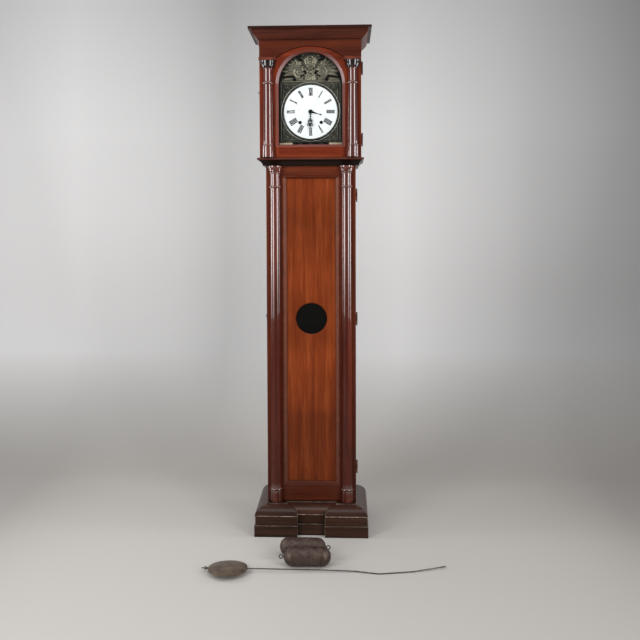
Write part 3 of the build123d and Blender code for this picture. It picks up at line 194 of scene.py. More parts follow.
# what every board shares: the marks of each layer's colour ramp, and how far the grain is drawn out
grainMarks = {"figure": (0.34, 0.5, 0.66), "clouds": [(0.36, 0.45), (0.64, 1.0)],
              "pores": [(0.34, 0.4), (0.48, 1.0)], "grimeAndShade": [(0.3, 0.3), (0.85, 1.0)],
              "rub": [(0.82, 1.0), (0.985, 0.0)], "chips": [(0.4, 0.25), (0.62, 1.0)], "chipScale": 30.0,
              "squeeze": 0.045, "bevelFacing": -0.707, "bevelSpread": 0.1, "edgeBand": 0.0016,
              "glossFrom": 0.3, "glossTo": 0.7, "glossLow": 0.85, "glossHigh": 1.2}


# A look says how one board reads: its three grain colours, which way its grain runs, its polish, its wear and
# the light and shade painted on it.
def woodMaterial(name, look):
    material, tree, shader = newMaterial(name, **{
        "Roughness": look["rough"], "Specular IOR Level": look["shine"], "Coat Weight": look["coat"],
        "Coat Roughness": look["coatRough"], "Coat IOR": look["coatIor"]})
    place = addNode(tree, "ShaderNodeTexCoord").outputs["Object"]
    spot = addNode(tree, "ShaderNodeSeparateXYZ", {0: place})
    if "low" in look:  # how high on the piece, from 0 to 1
        level = addNode(tree, "ShaderNodeMapRange", {"Value": spot.outputs["Z"], "From Min": look["low"],
                                                     "From Max": look["high"]})
    # squeezed along the grain, so that the figure comes out long and thin
    thin, shift = grainMarks["squeeze"], look["shift"]
    squeeze = {"x": (thin, 1, 1), "y": (1, thin, 1), "z": (1, 1, thin)}
    grain = addNode(tree, "ShaderNodeMapping", {"Vector": place, "Location": shift,
                                                "Scale": squeeze[look["along"]]}).outputs[0]
    crossing = look.get("crossing")
    if crossing:  # boards that run the other way: rails between stiles, or a moulding returned round a corner
        other = addNode(tree, "ShaderNodeMapping", {"Vector": place, "Location": shift[::-1],
                                                    "Scale": squeeze[crossing["along"]]})
        wide = addNode(tree, "ShaderNodeMath", {0: spot.outputs["X"]}, operation="ABSOLUTE").outputs[0]
        if "mitre" in crossing:
            depth = addNode(tree, "ShaderNodeMath", {0: wide, 1: spot.outputs["Y"]}, operation="ADD").outputs[0]
            turn = addNode(tree, "ShaderNodeMath", {0: depth, 1: crossing["mitre"]},
                           operation="GREATER_THAN").outputs[0]
        else:
            turn = addNode(tree, "ShaderNodeMath", {0: wide, 1: crossing["within"]},
                           operation="LESS_THAN").outputs[0]
        grain = addNode(tree, "ShaderNodeMix", {"Factor": turn, 4: grain, 5: other.outputs[0]},
                        data_type="VECTOR").outputs[1]
    bands = addNode(tree, "ShaderNodeTexNoise", {"Vector": grain, "Scale": 1000 / look["bandMm"],
                                                 "Detail": 1.5, "Roughness": 0.5, "Distortion": 0.6})
    streaks = addNode(tree, "ShaderNodeTexNoise", {"Vector": grain, "Scale": 1000 / look["streakMm"],
                                                   "Detail": 3.0, "Roughness": 0.6})
    figure = addNode(tree, "ShaderNodeMix", {"Factor": look["streaks"], 2: bands.outputs["Fac"],
                                             3: streaks.outputs["Fac"]}).outputs[0]
    tones = list(zip(grainMarks["figure"], (look["dark"], look["mid"], look["light"])))
    colour = addNode(tree, "ShaderNodeValToRGB", {"Fac": figure}, stops=tones).outputs[0]
    clouds = addNode(tree, "ShaderNodeTexNoise", {"Vector": place, "Scale": look["cloud"], "Detail": 2.0})
    pores = addNode(tree, "ShaderNodeTexNoise", {"Vector": grain, "Scale": 1000 / look["poreMm"],
                                                 "Detail": 2.0})
    # what darkens the board: broad clouds in the wood, open pores, grime and painted shade in corners and
    # hollows, and a tint up its height that on several boards is painted shade
    shades = [(look["cloudy"], addNode(tree, "ShaderNodeValToRGB", {"Fac": clouds.outputs["Fac"]},
                                       stops=grainMarks["clouds"])),
              (look["pores"], addNode(tree, "ShaderNodeValToRGB", {"Fac": pores.outputs["Fac"]},
                                      stops=grainMarks["pores"]))]
    # ambient occlusion darkens corners and hollows: painted shade, with some grime
    if look.get("grimeAndShade"):
        inner = addNode(tree, "ShaderNodeAmbientOcclusion", {"Distance": look["grimeAndShade"]}, samples=6)
        shades.append((1.0, addNode(tree, "ShaderNodeValToRGB", {"Fac": inner.outputs["AO"]},
                                    stops=grainMarks["grimeAndShade"])))
    if look.get("tints"):
        shades.append((1.0, addNode(tree, "ShaderNodeValToRGB", {"Fac": level.outputs[0]},
                                    stops=look["tints"])))
    for amount, layer in shades:
        colour = addNode(tree, "ShaderNodeMix", {0: amount, 6: colour, 7: layer.outputs[0]},
                         data_type="RGBA", blend_type="MULTIPLY").outputs[2]
    soft = addNode(tree, "ShaderNodeBevel", {"Radius": look["arris"]}, samples=6)
    if look.get("wear"):  # arrises show paler, in patches: rubbed wear, and a painted highlight along the rounded edge
        flat = addNode(tree, "ShaderNodeNewGeometry").outputs["Normal"]
        turned = addNode(tree, "ShaderNodeVectorMath", {0: soft.outputs[0], 1: flat},
                         operation="DOT_PRODUCT").outputs["Value"]
        rub = addNode(tree, "ShaderNodeValToRGB", {"Fac": turned}, stops=grainMarks["rub"]).outputs[0]
        chips = addNode(tree, "ShaderNodeTexNoise", {"Vector": place, "Scale": grainMarks["chipScale"],
                                                     "Detail": 4.0, "Roughness": 0.75})
        chips = addNode(tree, "ShaderNodeValToRGB", {"Fac": chips.outputs["Fac"]},
                        stops=grainMarks["chips"]).outputs[0]
        if "edge" in look:  # the lowest edge of the piece is painted pale all along: wear, and a painted highlight on its arris
            band = {0: spot.outputs["Z"], 1: look["edge"], 2: grainMarks["edgeBand"]}
            lowest = addNode(tree, "ShaderNodeMath", band, operation="COMPARE").outputs[0]
            rub = addNode(tree, "ShaderNodeMix", {0: lowest, 6: rub, 7: (1, 1, 1, 1)},
                          data_type="RGBA").outputs[2]
        rub = addNode(tree, "ShaderNodeMix", {0: 1.0, 6: rub, 7: chips}, data_type="RGBA",
                      blend_type="MULTIPLY").outputs[2]
        rub = addNode(tree, "ShaderNodeMath", {0: rub, 1: look["wear"]}, operation="MULTIPLY").outputs[0]
        colour = addNode(tree, "ShaderNodeMix", {0: rub, 6: colour, 7: linear(look["worn"])},
                         data_type="RGBA").outputs[2]
    if "rubbed" in look:  # the sloping bevel of a door frame is painted paler, more at some heights: a painted highlight, the lamps' reflection in the bevel
        surface = addNode(tree, "ShaderNodeTexCoord").outputs["Normal"]
        facing = addNode(tree, "ShaderNodeSeparateXYZ", {0: surface})
        slope = {0: facing.outputs["Y"], 1: grainMarks["bevelFacing"], 2: grainMarks["bevelSpread"]}
        bevelled = addNode(tree, "ShaderNodeMath", slope, operation="COMPARE")
        amount = addNode(tree, "ShaderNodeValToRGB", {"Fac": level.outputs[0]}, stops=look["rubbing"])
        amount = addNode(tree, "ShaderNodeMath", {0: bevelled.outputs[0], 1: amount.outputs[0]},
                         operation="MULTIPLY")
        colour = addNode(tree, "ShaderNodeMix", {0: amount.outputs[0], 6: colour, 7: linear(look["rubbed"])},
                         data_type="RGBA").outputs[2]
    tree.links.new(colour, shader.inputs["Base Color"])
    gloss = addNode(tree, "ShaderNodeMapRange", {
        "Value": streaks.outputs["Fac"], "From Min": grainMarks["glossFrom"], "From Max": grainMarks["glossTo"],
        "To Min": look["rough"] * grainMarks["glossLow"], "To Max": look["rough"] * grainMarks["glossHigh"]})
    tree.links.new(gloss.outputs[0], shader.inputs["Roughness"])
    if "polished" in look:  # the polish has gone dull over the lower half, but for the ring at the foot
        film = addNode(tree, "ShaderNodeValToRGB", {"Fac": level.outputs[0]}, stops=look["polished"])
        tree.links.new(film.outputs[0], shader.inputs["Coat Weight"])
    ridge = addNode(tree, "ShaderNodeMix", {"Factor": 0.5, 2: streaks.outputs["Fac"],
                                            3: pores.outputs["Fac"]}).outputs[0]
    bump = addNode(tree, "ShaderNodeBump", {"Height": ridge, "Strength": look["relief"], "Distance": 0.0006,
                                            "Normal": soft.outputs[0]})
    tree.links.new(bump.outputs[0], shader.inputs["Normal"])
    return material


# French-polished mahogany, hand rubbed: deep red-brown under a thin clear film, the figure long and soft, its
# pores finer than shows from here, so they are drawn 2 mm wide
polish = {"rough": 0.4, "shine": 0.14, "coat": 0.08, "coatRough": 0.12, "coatIor": 1.5, "along": "x",
          "shift": (0.031, 0.12, 0.0), "bandMm": 30, "streakMm": 5, "streaks": 0.4, "poreMm": 2.0, "pores": 0.3,
          "cloud": 4.0, "cloudy": 0.35, "grimeAndShade": 0.02, "arris": 0.0018, "worn": "9a6a4c", "wear": 0.3,
          "relief": 0.12}
# turned half-columns keep the thickest polish, so that the lamps stand in them as hard bright lines
turned = dict(polish, along="z", rough=0.3, coat=1.0, coatRough=0.045, coatIor=1.85, relief=0.02, wear=0.12,
              worn="b39482", grimeAndShade=0.008)
woods = {
    "frieze_board": dict(polish, dark="401509", mid="54210f", light="662b15"),
    "cornice": dict(polish, dark="38170e", mid="4e2317", light="602b1b",
                    crossing={"along": "y", "mitre": 0.079}, low=2.074, high=2.12,
                    tints=[(0.0, 1.0), (0.72, 1.0), (0.8, 0.35), (1.0, 0.3)]),
    "front_rails": dict(polish, dark="401509", mid="54210f", light="662b15"),
    # the arch bevel of the hood door is painted pale up its sides: a painted highlight
    "hood_door_frame": dict(polish, along="z", dark="561c0b", mid="70280f", light="853516",
                            crossing={"along": "x", "within": 0.133}, coat=0.15, coatRough=0.06, grimeAndShade=0.01,
                            rubbed="b9a3a4", low=1.66, high=2.04,
                            rubbing=[(0.0, 0.1), (0.6, 0.16), (0.64, 0.72), (0.76, 0.62), (0.87, 0.35),
                                     (0.94, 0.05)]),
    # the trunk door frame darkens towards the foot as painted shade, and its panel bevel is painted paler as a
    # painted highlight
    "trunk_door_frame": dict(polish, along="z", dark="491b0c", mid="5f2713", light="74341b",
                             crossing={"along": "x", "within": 0.121}, grimeAndShade=0.006, wear=0.7, worn="b08470",
                             rubbed="8f6050", rubbing=[(0.0, 0.2), (1.0, 0.6)], low=0.12, high=1.55,
                             tints=[(0.0, 0.62), (0.5, 0.85), (1.0, 1.0)]),
    # the panel darkens towards the foot: painted shade
    "trunk_door_panel": dict(polish, along="z", dark="6e2d12", mid="803716", light="944620", bandMm=28,
                             streaks=0.45, cloud=3.2, cloudy=0.75, grimeAndShade=0.008, coat=0.04, shine=0.1,
                             low=0.12, high=1.55, tints=[(0.0, 0.78), (0.3, 1.0), (0.6, 1.0), (1.0, 0.97)]),
    "hood_sides": dict(polish, along="z", dark="3c150c", mid="572414", light="6d311c"),
    "trunk_sides": dict(polish, along="z", dark="3c150c", mid="572414", light="6d311c"),
    # the hollow of the moulding is painted nearly black and greenish, as painted shade under the lip; its lip
    # stays red
    "waist_moulding": dict(polish, dark="44201a", mid="572c22", light="6a382c", worn="9a7a68",
                           crossing={"along": "y", "mitre": 0.079}, low=1.554, high=1.585,
                           tints=[(0.0, "50584a"), (0.7, "50584a"), (0.76, 1.0), (1.0, 1.0)]),
    # the plinth's arrises and the cap's lowest edge are painted pale: wear, and a painted highlight
    "plinth_cap": dict(polish, dark="2a160f", mid="3b2219", light="4c2e24", worn="a08d80", wear=0.95,
                       rough=0.36, coat=0.35, coatRough=0.1, arris=0.0024, edge=0.0876,
                       crossing={"along": "y", "mitre": 0.052}),
    "plinth_base": dict(polish, dark="23130b", mid="331f15", light="422a1f", worn="a08d80", wear=0.95,
                        rough=0.42, arris=0.0024, crossing={"along": "y", "mitre": 0.052}),
    # the trunk columns darken towards the foot: painted shade
    "trunk_columns": dict(turned, dark="43160b", mid="5c2112", light="722f1c", low=0.12, high=1.55,
                          tints=[(0.0, 0.6), (0.5, 0.85), (1.0, 1.0)],
                          polished=[(0.0, 0.3), (0.03, 0.3), (0.035, 1.0), (0.05, 1.0), (0.06, 0.12),
                                    (0.49, 0.12), (0.61, 0.3), (0.73, 0.8), (0.81, 1.0)]),
    "hood_columns": dict(turned, dark="45170f", mid="5c2318", light="702f22"),
    # bell and square block of each capital: the bell painted greenish black and glossy, partly a dark stain and
    # partly a painted dark reflection; the block brown
    "hood_capitals": dict(turned, dark="4a1d10", mid="692b18", light="7a381f", coatIor=1.6,
                          low=1.957, high=1.995,
                          tints=[(0.0, "3c4234"), (0.7, "3c4234"), (0.72, 1.0), (1.0, 1.0)]),
}
# unpolished pine inside and behind: dusty yellow-brown, with wide soft rings
bare = dict(polish, rough=0.75, shine=0.25, coat=0.0, along="z", bandMm=14, streakMm=4, streaks=0.3,
            pores=0.15, grimeAndShade=0.03, wear=0.0, relief=0.3, dark="7d6145", mid="a08261", light="bb9e7c")
plain = {
    "back_board": dict(bare, dark="5d4936", mid="7a634b", light="92795d"),
    "roof_board": dict(bare, along="x", dark="4e3d2e", mid="66523f", light="7b6650"),
    "bottom_board": dict(bare, along="x"),
    "glue_blocks": dict(bare),
    "seat_board": dict(bare, along="x", dark="b09a7c", mid="cdb898", light="dfcdb0", grimeAndShade=0.004),
}
for kind, boards in (("polishedMahogany", woods), ("barePine", plain)):
    for name, look in boards.items():
        dress(name, woodMaterial(kind + "_" + name, look))
print("woods laid on", len(woods) + len(plain), "boards")


# what a metal has unless its own look says otherwise, and the marks of its colour ramps
metalBase = {"metallic": 1.0, "scuffMm": 3, "relief": 0.2}
metalMarks = {"tarnish": (0.32, 0.52, 0.72), "grimeFrom": 0.35, "grimeTo": 0.9, "scratchFrom": 0.62,
              "scratchTo": 0.7, "steel": [(0.0, 0.02), (1.0, 1.0)],
              "glossFrom": 0.3, "glossTo": 0.7, "glossLow": 0.8, "glossHigh": 1.25}


def metalMaterial(name, look):
    look = dict(metalBase, **look)
    material, tree, shader = newMaterial(name, **{"Metallic": look["metallic"], "Roughness": look["rough"]})
    place = addNode(tree, "ShaderNodeTexCoord").outputs["Object"]
    spot = addNode(tree, "ShaderNodeSeparateXYZ", {0: place})
    tarnish = addNode(tree, "ShaderNodeTexNoise", {"Vector": place, "Scale": 1000 / look["patchMm"],
                                                   "Detail": 6.0, "Roughness": 0.65})
    tones = list(zip(metalMarks["tarnish"], (look["dark"], look["mid"], look["light"])))
    colour = addNode(tree, "ShaderNodeValToRGB", {"Fac": tarnish.outputs["Fac"]}, stops=tones).outputs[0]
    shades = []
    if "tints" in look:  # what changes up the sheet
        level = addNode(tree, "ShaderNodeMapRange", {"Value": spot.outputs["Z"], "From Min": look["low"],
                                                     "From Max": look["high"]})
        shades.append(addNode(tree, "ShaderNodeValToRGB", {"Fac": level.outputs[0]}, stops=look["tints"]))
    if "ground" in look:  # smoke lies in the ground of the relief, the tops are rubbed clean
        depth = addNode(tree, "ShaderNodeMapRange", {"Value": spot.outputs["Y"], "From Min": look["ground"],
                                                     "From Max": look["top"]})
        shades.append(addNode(tree, "ShaderNodeValToRGB", {"Fac": depth.outputs[0]}, stops=look["depths"]))
    if "steelBefore" in look:  # the winding squares are the dark steel ends of the barrel arbors
        steel = addNode(tree, "ShaderNodeMath", {0: spot.outputs["Y"], 1: look["steelBefore"]},
                        operation="GREATER_THAN")
        shades.append(addNode(tree, "ShaderNodeValToRGB", {"Fac": steel.outputs[0]},
                              stops=metalMarks["steel"]))
    # ambient occlusion darkens the hollows of the relief: smoke lying there, and painted shade
    if "grimeAndShade" in look:
        inner = addNode(tree, "ShaderNodeAmbientOcclusion", {"Distance": look["grimeAndShade"]}, samples=8,
                        only_local=True)
        stain = [(metalMarks["grimeFrom"], look["grimeLow"]), (metalMarks["grimeTo"], 1.0)]
        shades.append(addNode(tree, "ShaderNodeValToRGB", {"Fac": inner.outputs["AO"]}, stops=stain))
    for layer in shades:
        colour = addNode(tree, "ShaderNodeMix", {0: 1.0, 6: colour, 7: layer.outputs[0]}, data_type="RGBA",
                         blend_type="MULTIPLY").outputs[2]
    scuff = addNode(tree, "ShaderNodeTexNoise", {"Vector": place, "Scale": 1000 / look["scuffMm"],
                                                 "Detail": 4.0, "Roughness": 0.7})
    if "scratch" in look:  # bright marks where it has been knocked
        knocks = [(metalMarks["scratchFrom"], 0.0), (metalMarks["scratchTo"], look["scratch"])]
        marks = addNode(tree, "ShaderNodeValToRGB", {"Fac": scuff.outputs["Fac"]}, stops=knocks).outputs[0]
        colour = addNode(tree, "ShaderNodeMix", {0: marks, 6: colour, 7: linear(look["bright"])},
                         data_type="RGBA").outputs[2]
    tree.links.new(colour, shader.inputs["Base Color"])
    gloss = addNode(tree, "ShaderNodeMapRange", {
        "Value": scuff.outputs["Fac"], "From Min": metalMarks["glossFrom"], "From Max": metalMarks["glossTo"],
        "To Min": look["rough"] * metalMarks["glossLow"],
        "To Max": min(1.0, look["rough"] * metalMarks["glossHigh"])})
    tree.links.new(gloss.outputs[0], shader.inputs["Roughness"])
    bump = addNode(tree, "ShaderNodeBump", {"Height": scuff.outputs["Fac"], "Strength": look["relief"],
                                            "Distance": 0.0006})
    tree.links.new(bump.outputs[0], shader.inputs["Normal"])
    return material


metals = {
    # pressed sheet brass under a century of smoke: olive grey, bright only on the high points
    "pressedBrass": {"dark": "787362", "mid": "938d7a", "light": "aea893", "rough": 0.4, "patchMm": 30,
                     "grimeAndShade": 0.004, "grimeLow": 0.2, "ground": -0.0964, "top": -0.1005,
                     "depths": [(0.0, 0.2), (0.3, 0.7), (0.7, 1.0), (1.0, 1.15)]},
    # the flat sheet behind the dial is darker still, but for a paler band along its upper edge
    "smokedBrass": {"dark": "45443b", "mid": "5c5b50", "light": "787668", "rough": 0.5, "patchMm": 24,
                    "grimeAndShade": 0.005, "grimeLow": 0.1,
                    "low": 1.652, "high": 1.905, "tints": [(0.0, 0.9), (0.9, 0.8), (0.93, 1.0), (1.0, 1.0)],
                    "ground": -0.0965, "top": -0.0995, "depths": [(0.0, 0.45), (0.4, 0.7), (1.0, 1.5)]},
    "turnedBezelBrass": {"dark": "34342e", "mid": "4b4a42", "light": "6a6860", "rough": 0.28, "patchMm": 40},
    "beadBrass": {"dark": "b3b1aa", "mid": "cfcdc5", "light": "e2e0d8", "rough": 0.3, "patchMm": 20},
    # turned brass wheels and arbors, lacquer gone: yellow with brown bloom
    "wheelBrass": {"dark": "7a5c28", "mid": "a98642", "light": "c9a85e", "rough": 0.3, "patchMm": 14},
    "barrelBrass": {"dark": "7a5c28", "mid": "a98642", "light": "c9a85e", "rough": 0.3, "patchMm": 14,
                    "steelBefore": -0.08},
    # small forged and filed iron, brown with old oil
    "forgedIron": {"dark": "2c2320", "mid": "43352f", "light": "5c4b43", "rough": 0.5, "patchMm": 12,
                   "relief": 0.5, "metallic": 0.8},
    # iron stained with the case and lost against it
    "stainedIron": {"dark": "4c2a1e", "mid": "683b2a", "light": "7c4a36", "rough": 0.5, "patchMm": 12,
                    "metallic": 0.2},
    # punched steel hands, blued dark and gone dull
    "bluedSteel": {"dark": "1c1c20", "mid": "34343a", "light": "54555c", "rough": 0.42, "patchMm": 6},
    # cast bell bronze, brown grey with a soft shine
    "bellMetal": {"dark": "6d6147", "mid": "94876a", "light": "b4a78a", "rough": 0.28, "patchMm": 18},
    # cast iron with a brown rust skin, knocked bright in places
    "rustyCastIron": {"dark": "30241f", "mid": "4a3a33", "light": "5e4c44", "rough": 0.5, "patchMm": 16,
                      "metallic": 0.45, "relief": 0.5, "scratch": 0.35, "bright": "b0a498", "scuffMm": 8},
    # brass-faced lead bob gone brown, still smooth
    "brownedBrass": {"dark": "4b3e34", "mid": "665648", "light": "7c6c5e", "rough": 0.4, "patchMm": 35,
                     "metallic": 0.6, "scratch": 0.2, "bright": "a89a8c", "scuffMm": 5},
    # drawn iron wire, grey where it has been handled
    "drawnWire": {"dark": "403c38", "mid": "5b5650", "light": "7a756e", "rough": 0.4, "patchMm": 12},
}
metal = {name: metalMaterial(name, look) for name, look in metals.items()}
dressed = {
    "smokedBrass": ["dial_mask"],
    "turnedBezelBrass": ["dial_bezel"],
    "wheelBrass": ["going_great_wheel", "third_arbor", "escape_arbor", "strike_great_wheel", "pin_wheel",
                   "fly", "fly_arbor", "cannon_pinion", "minute_wheel", "hour_wheel"],
    "barrelBrass": ["going_drum", "strike_drum", "centre_arbor"],
    "forgedIron": ["cage_plates", "cage_pillars", "train_bars", "hammer", "anchor", "bell_stand",
                   "hood_hinge_leaves", "case_hinge_leaves", "hood_hook", "trunk_hook", "hook_screws",
                   "hood_door_staple", "trunk_door_staple"],
    "stainedIron": ["trunk_hinge_leaves"],
    "bluedSteel": ["minute_hand", "hour_hand"],
    "bellMetal": ["bell"],
    "rustyCastIron": ["weight_left", "weight_right"],
    "brownedBrass": ["pendulum_bob", "rating_nut"],
    "drawnWire": ["pendulum_rod", "suspension"],
}
for name, wearers in dressed.items():
    for node in wearers:
        dress(node, metal[name])

# fired enamel on copper: a pure white glass skin, faintly uneven
enamel, tree, shader = newMaterial("firedEnamel", **{"Roughness": 0.2, "Coat Weight": 0.5,
                                                     "Coat Roughness": 0.05})
place = addNode(tree, "ShaderNodeTexCoord").outputs["Object"]
milk = addNode(tree, "ShaderNodeTexNoise", {"Vector": place, "Scale": 18.0, "Detail": 3.0})
milky = addNode(tree, "ShaderNodeValToRGB", {"Fac": milk.outputs["Fac"]},
                stops=[(0.3, "f0f5f6"), (0.6, "f9fbfb")])
tree.links.new(milky.outputs[0], shader.inputs["Base Color"])
pebbled = addNode(tree, "ShaderNodeTexNoise", {"Vector": place, "Scale": 60.0, "Detail": 2.0})
skin = addNode(tree, "ShaderNodeBump", {"Height": pebbled.outputs["Fac"], "Strength": 0.06,
                                        "Distance": 0.001})
tree.links.new(skin.outputs[0], shader.inputs["Normal"])
dress("dial_plate", enamel)

# old cylinder glass: clear, thin and a little wavy, so it only mirrors; the porthole's pane is tinted dark,
# painted shade for the unlit inside of the trunk, with a little dust
panes = {"hood_door_glass": {"glass": "feffff", "dust": 0.0, "mirror": 0.02},
         "porthole_glass": {"glass": "35332f", "dust": 0.01, "mirror": 0.01}}
for name, pane in panes.items():
    mirror = {"Metallic": 1.0, "Base Color": linear("ffffff"), "Roughness": 0.02}
    glass, tree, shader = newMaterial("cylinderGlass_" + name, **mirror)
    place = addNode(tree, "ShaderNodeTexCoord").outputs["Object"]
    waves = addNode(tree, "ShaderNodeTexNoise", {"Vector": place, "Scale": 7.0, "Detail": 1.0})
    wavy = addNode(tree, "ShaderNodeBump", {"Height": waves.outputs["Fac"], "Strength": 0.05,
                                            "Distance": 0.002})
    tree.links.new(wavy.outputs[0], shader.inputs["Normal"])
    clear = addNode(tree, "ShaderNodeBsdfTransparent", {"Color": linear(pane["glass"])})
    dust = addNode(tree, "ShaderNodeBsdfDiffuse", {"Color": linear("b4b0a6")})
    dusted = addNode(tree, "ShaderNodeMixShader", {0: pane["dust"], 1: clear.outputs[0], 2: dust.outputs[0]})
    mixed = addNode(tree, "ShaderNodeMixShader", {0: pane["mirror"], 1: dusted.outputs[0],
                                                  2: shader.outputs["BSDF"]})
    tree.links.new(mixed.outputs[0], tree.nodes["Material Output"].inputs["Surface"])
    dress(name, glass)
print("metals, enamel and glass done")


# pressed mask, in mm: a thin sheet raised into scrolls, leaves and a shell; foot is the line under the fronton
mask = {"half": 130.0, "low": 1652.0, "foot": 1905.0, "crownTop": 2037.0, "front": -96.0, "thick": 0.8,
        "dialZ": 1780.0, "hole": 108.0, "step": 1.25, "groove": 0.3, "grooveReach": 1.25, "reedDepth": 0.3,
        "rimSmoothings": 4, "rimMargin": 2, "edgeInset": 4.5, "edgeWidth": 2.2, "edgeRise": 2.2,
        "ringRadius": 124.5, "ringWidth": 1.8, "ringRise": 1.6, "punchDepth": 0.35, "punchTurns": 1.35,
        "flatInside": 121, "farOff": 9.0}
foot = mask["foot"]


def spiral(x, z, fromR, toR, fromTurn, toTurn, fromWidth, toWidth, steps=40):
    line = []
    for i in range(steps + 1):
        t = i / steps
        r, turn = fromR + (toR - fromR) * t, radians(fromTurn + (toTurn - fromTurn) * t)
        line.append((x + r * cos(turn), z + r * sin(turn), fromWidth + (toWidth - fromWidth) * t))
    return line


def leaf(x, z, turn, length, width):
    c, s = cos(radians(turn)), sin(radians(turn))
    swell = ((0, 0.55), (0.25, 0.85), (0.6, 1.0), (0.85, 0.75), (1, 0.35))
    return [(x + c * length * t, z + s * length * t, width * w) for t, w in swell]


# each stroke is a line of (across, above the foot, half width), how far it is raised and how many reeds it has
wing = [
    {"line": [(44, 46, 33), (46, 46, 33)], "rise": 2.0, "reeds": 0},
    {"line": [(24, 10, 10), (60, 12, 10), (118, 10, 7)], "rise": 2.4, "reeds": 2},
    {"line": leaf(36, 62, 96, 40, 9), "rise": 3.6, "reeds": 1},
] + [{"line": leaf(50, 44, turn, length, 9.4), "rise": 4.4, "reeds": 1}
     for turn, length in ((92, 56), (74, 62), (56, 66), (38, 68), (20, 70), (2, 70), (-15, 66))] + [
    {"line": leaf(76, 12, -3, 42, 8), "rise": 3.8, "reeds": 2},
    {"line": spiral(46, 46, 27, 5, -130, 480, 5.0, 3.6), "rise": 5.0, "reeds": 1},
]
middle = [
    {"line": [(0, 8, 28), (0, 40, 24), (0, 62, 22)], "rise": 3.0, "reeds": 3},
    {"line": spiral(0, 40, 13, 13, 0, 360, 3, 3), "rise": 4.4, "reeds": 0},
    {"line": [(-2, 41, 6), (6, 41, 6)], "rise": 7.0, "reeds": 0},
    {"line": [(-122, 2.5, 4.5), (122, 2.5, 4.5)], "rise": 2.6, "reeds": 1},
] + [{"line": leaf(0, 88, turn, 46 - 3 * abs(cos(radians(turn))), 9.0), "rise": 4.2, "reeds": 1}
     for turn in range(-54, 235, 18)] + [
    {"line": [(0, 89, 32), (0, 90, 32)], "rise": 3.4, "reeds": 3},
    {"line": spiral(0, 97, 12, 12, 0, 360, 3.2, 3.2), "rise": 5.4, "reeds": 0},
    {"line": [(-1, 97, 5), (1, 97, 5)], "rise": 6.5, "reeds": 0},
    {"line": spiral(0, 74, 16, 16, 195, 345, 3.4, 3.4), "rise": 4.8, "reeds": 1},
]
# holes cut through: across, above the foot, half length, half width, turn
pierced = [(21, 40, 7, 3.4, 62), (36, 25, 9, 2.6, -38), (68, 10, 8, 5, 0), (68, 16, 4, 4, 0),
           (97, 24, 10, 1.2, -8), (44, 93, 11, 5, 20), (28, 44, 5, 2, 10)]


def raisedSheet(x0, x1, z0, z1, strokes, finish):
    # presses each stroke into a flat grid, then drops what the sheet's own rule leaves out
    sheet = bmesh.new()
    step = mask["step"]
    bmesh.ops.create_grid(sheet, x_segments=round((x1 - x0) / step), y_segments=round((z1 - z0) / step),
                          size=0.5)
    flat = np.array([v.co[:2] for v in sheet.verts]) + 0.5
    gx, gz = x0 + flat[:, 0] * (x1 - x0), z0 + flat[:, 1] * (z1 - z0)
    high, near = np.zeros(len(gx)), np.full(len(gx), mask["farOff"])
    for stroke in strokes:
        own = np.full(len(gx), mask["farOff"])
        for (ax, az, aw), (bx, bz, bw) in zip(stroke["line"], stroke["line"][1:]):
            dx, dz = bx - ax, bz - az
            t = np.clip(((gx - ax) * dx + (gz - az) * dz) / (dx * dx + dz * dz + 1e-9), 0, 1)
            own = np.minimum(own, np.hypot(gx - ax - t * dx, gz - az - t * dz) / (aw + (bw - aw) * t))
        reeded = 1 + mask["reedDepth"] * (np.cos(own * pi * 2 * stroke["reeds"]) - 1)
        # a chased line runs round each stroke
        high = np.where(own < mask["grooveReach"], high * mask["groove"], high)
        high = np.where(own < 1, np.sqrt(np.clip(1 - own ** 2, 0, 1)) * reeded * stroke["rise"], high)
        near = np.minimum(near, own)
    high, keep = finish(gx, gz, high, near)
    for vert, x, z, h in zip(sheet.verts, gx, gz, high):
        vert.co = (x / 1000, (mask["front"] - h) / 1000, z / 1000)
    bmesh.ops.delete(sheet, geom=[f for f in sheet.faces if not all(keep[v.index] for v in f.verts)],
                     context="FACES")
    inset = mask["rimMargin"]  # the straight outer edges stay sharp
    rim = [v for v in sheet.verts if v.is_boundary and x0 + inset < v.co.x * 1000 < x1 - inset
           and z0 + inset < v.co.z * 1000 < z1 - inset]
    for again in range(mask["rimSmoothings"]):
        bmesh.ops.smooth_vert(sheet, verts=rim, factor=0.5, use_axis_x=True, use_axis_y=True, use_axis_z=True)
    bmesh.ops.recalc_face_normals(sheet, faces=sheet.faces)
    if sum(f.normal.y for f in sheet.faces) > 0:
        bmesh.ops.reverse_faces(sheet, faces=sheet.faces)
    bmesh.ops.solidify(sheet, geom=sheet.faces[:], thickness=mask["thick"] / 1000)
    return sheet


def crownRule(gx, gz, high, near):
    cut = np.zeros(len(gx), bool)
    for x, h, long, wide, turn in pierced:
        for side in (-1, 1):
            c, s = cos(radians(turn)), sin(radians(turn)) * side
            along, off = (gx - side * x) * c + (gz - foot - h) * s, (gz - foot - h) * c - (gx - side * x) * s
            cut |= (along / long) ** 2 + (off / wide) ** 2 < 1
    return high, (near < 1) & ~cut


def sheetRule(gx, gz, high, near):
    reach = np.hypot(gx, gz - mask["dialZ"])
    edge = np.minimum(mask["half"] - np.abs(gx), np.minimum(gz - mask["low"], foot - gz))
    # a raised rim runs round the sheet
    rim = np.exp(-((edge - mask["edgeInset"]) / mask["edgeWidth"]) ** 2) * mask["edgeRise"]
    ringed = np.exp(-((reach - mask["ringRadius"]) / mask["ringWidth"]) ** 2) * mask["ringRise"]
    turns = mask["punchTurns"]
    punched = mask["punchDepth"] * np.sin(gx * turns) * np.sin(gz * turns) * (near > 1)
    raised = np.maximum(np.maximum(high, rim), ringed) + punched
    return np.where(reach > mask["flatInside"], raised, 0), reach > mask["hole"]


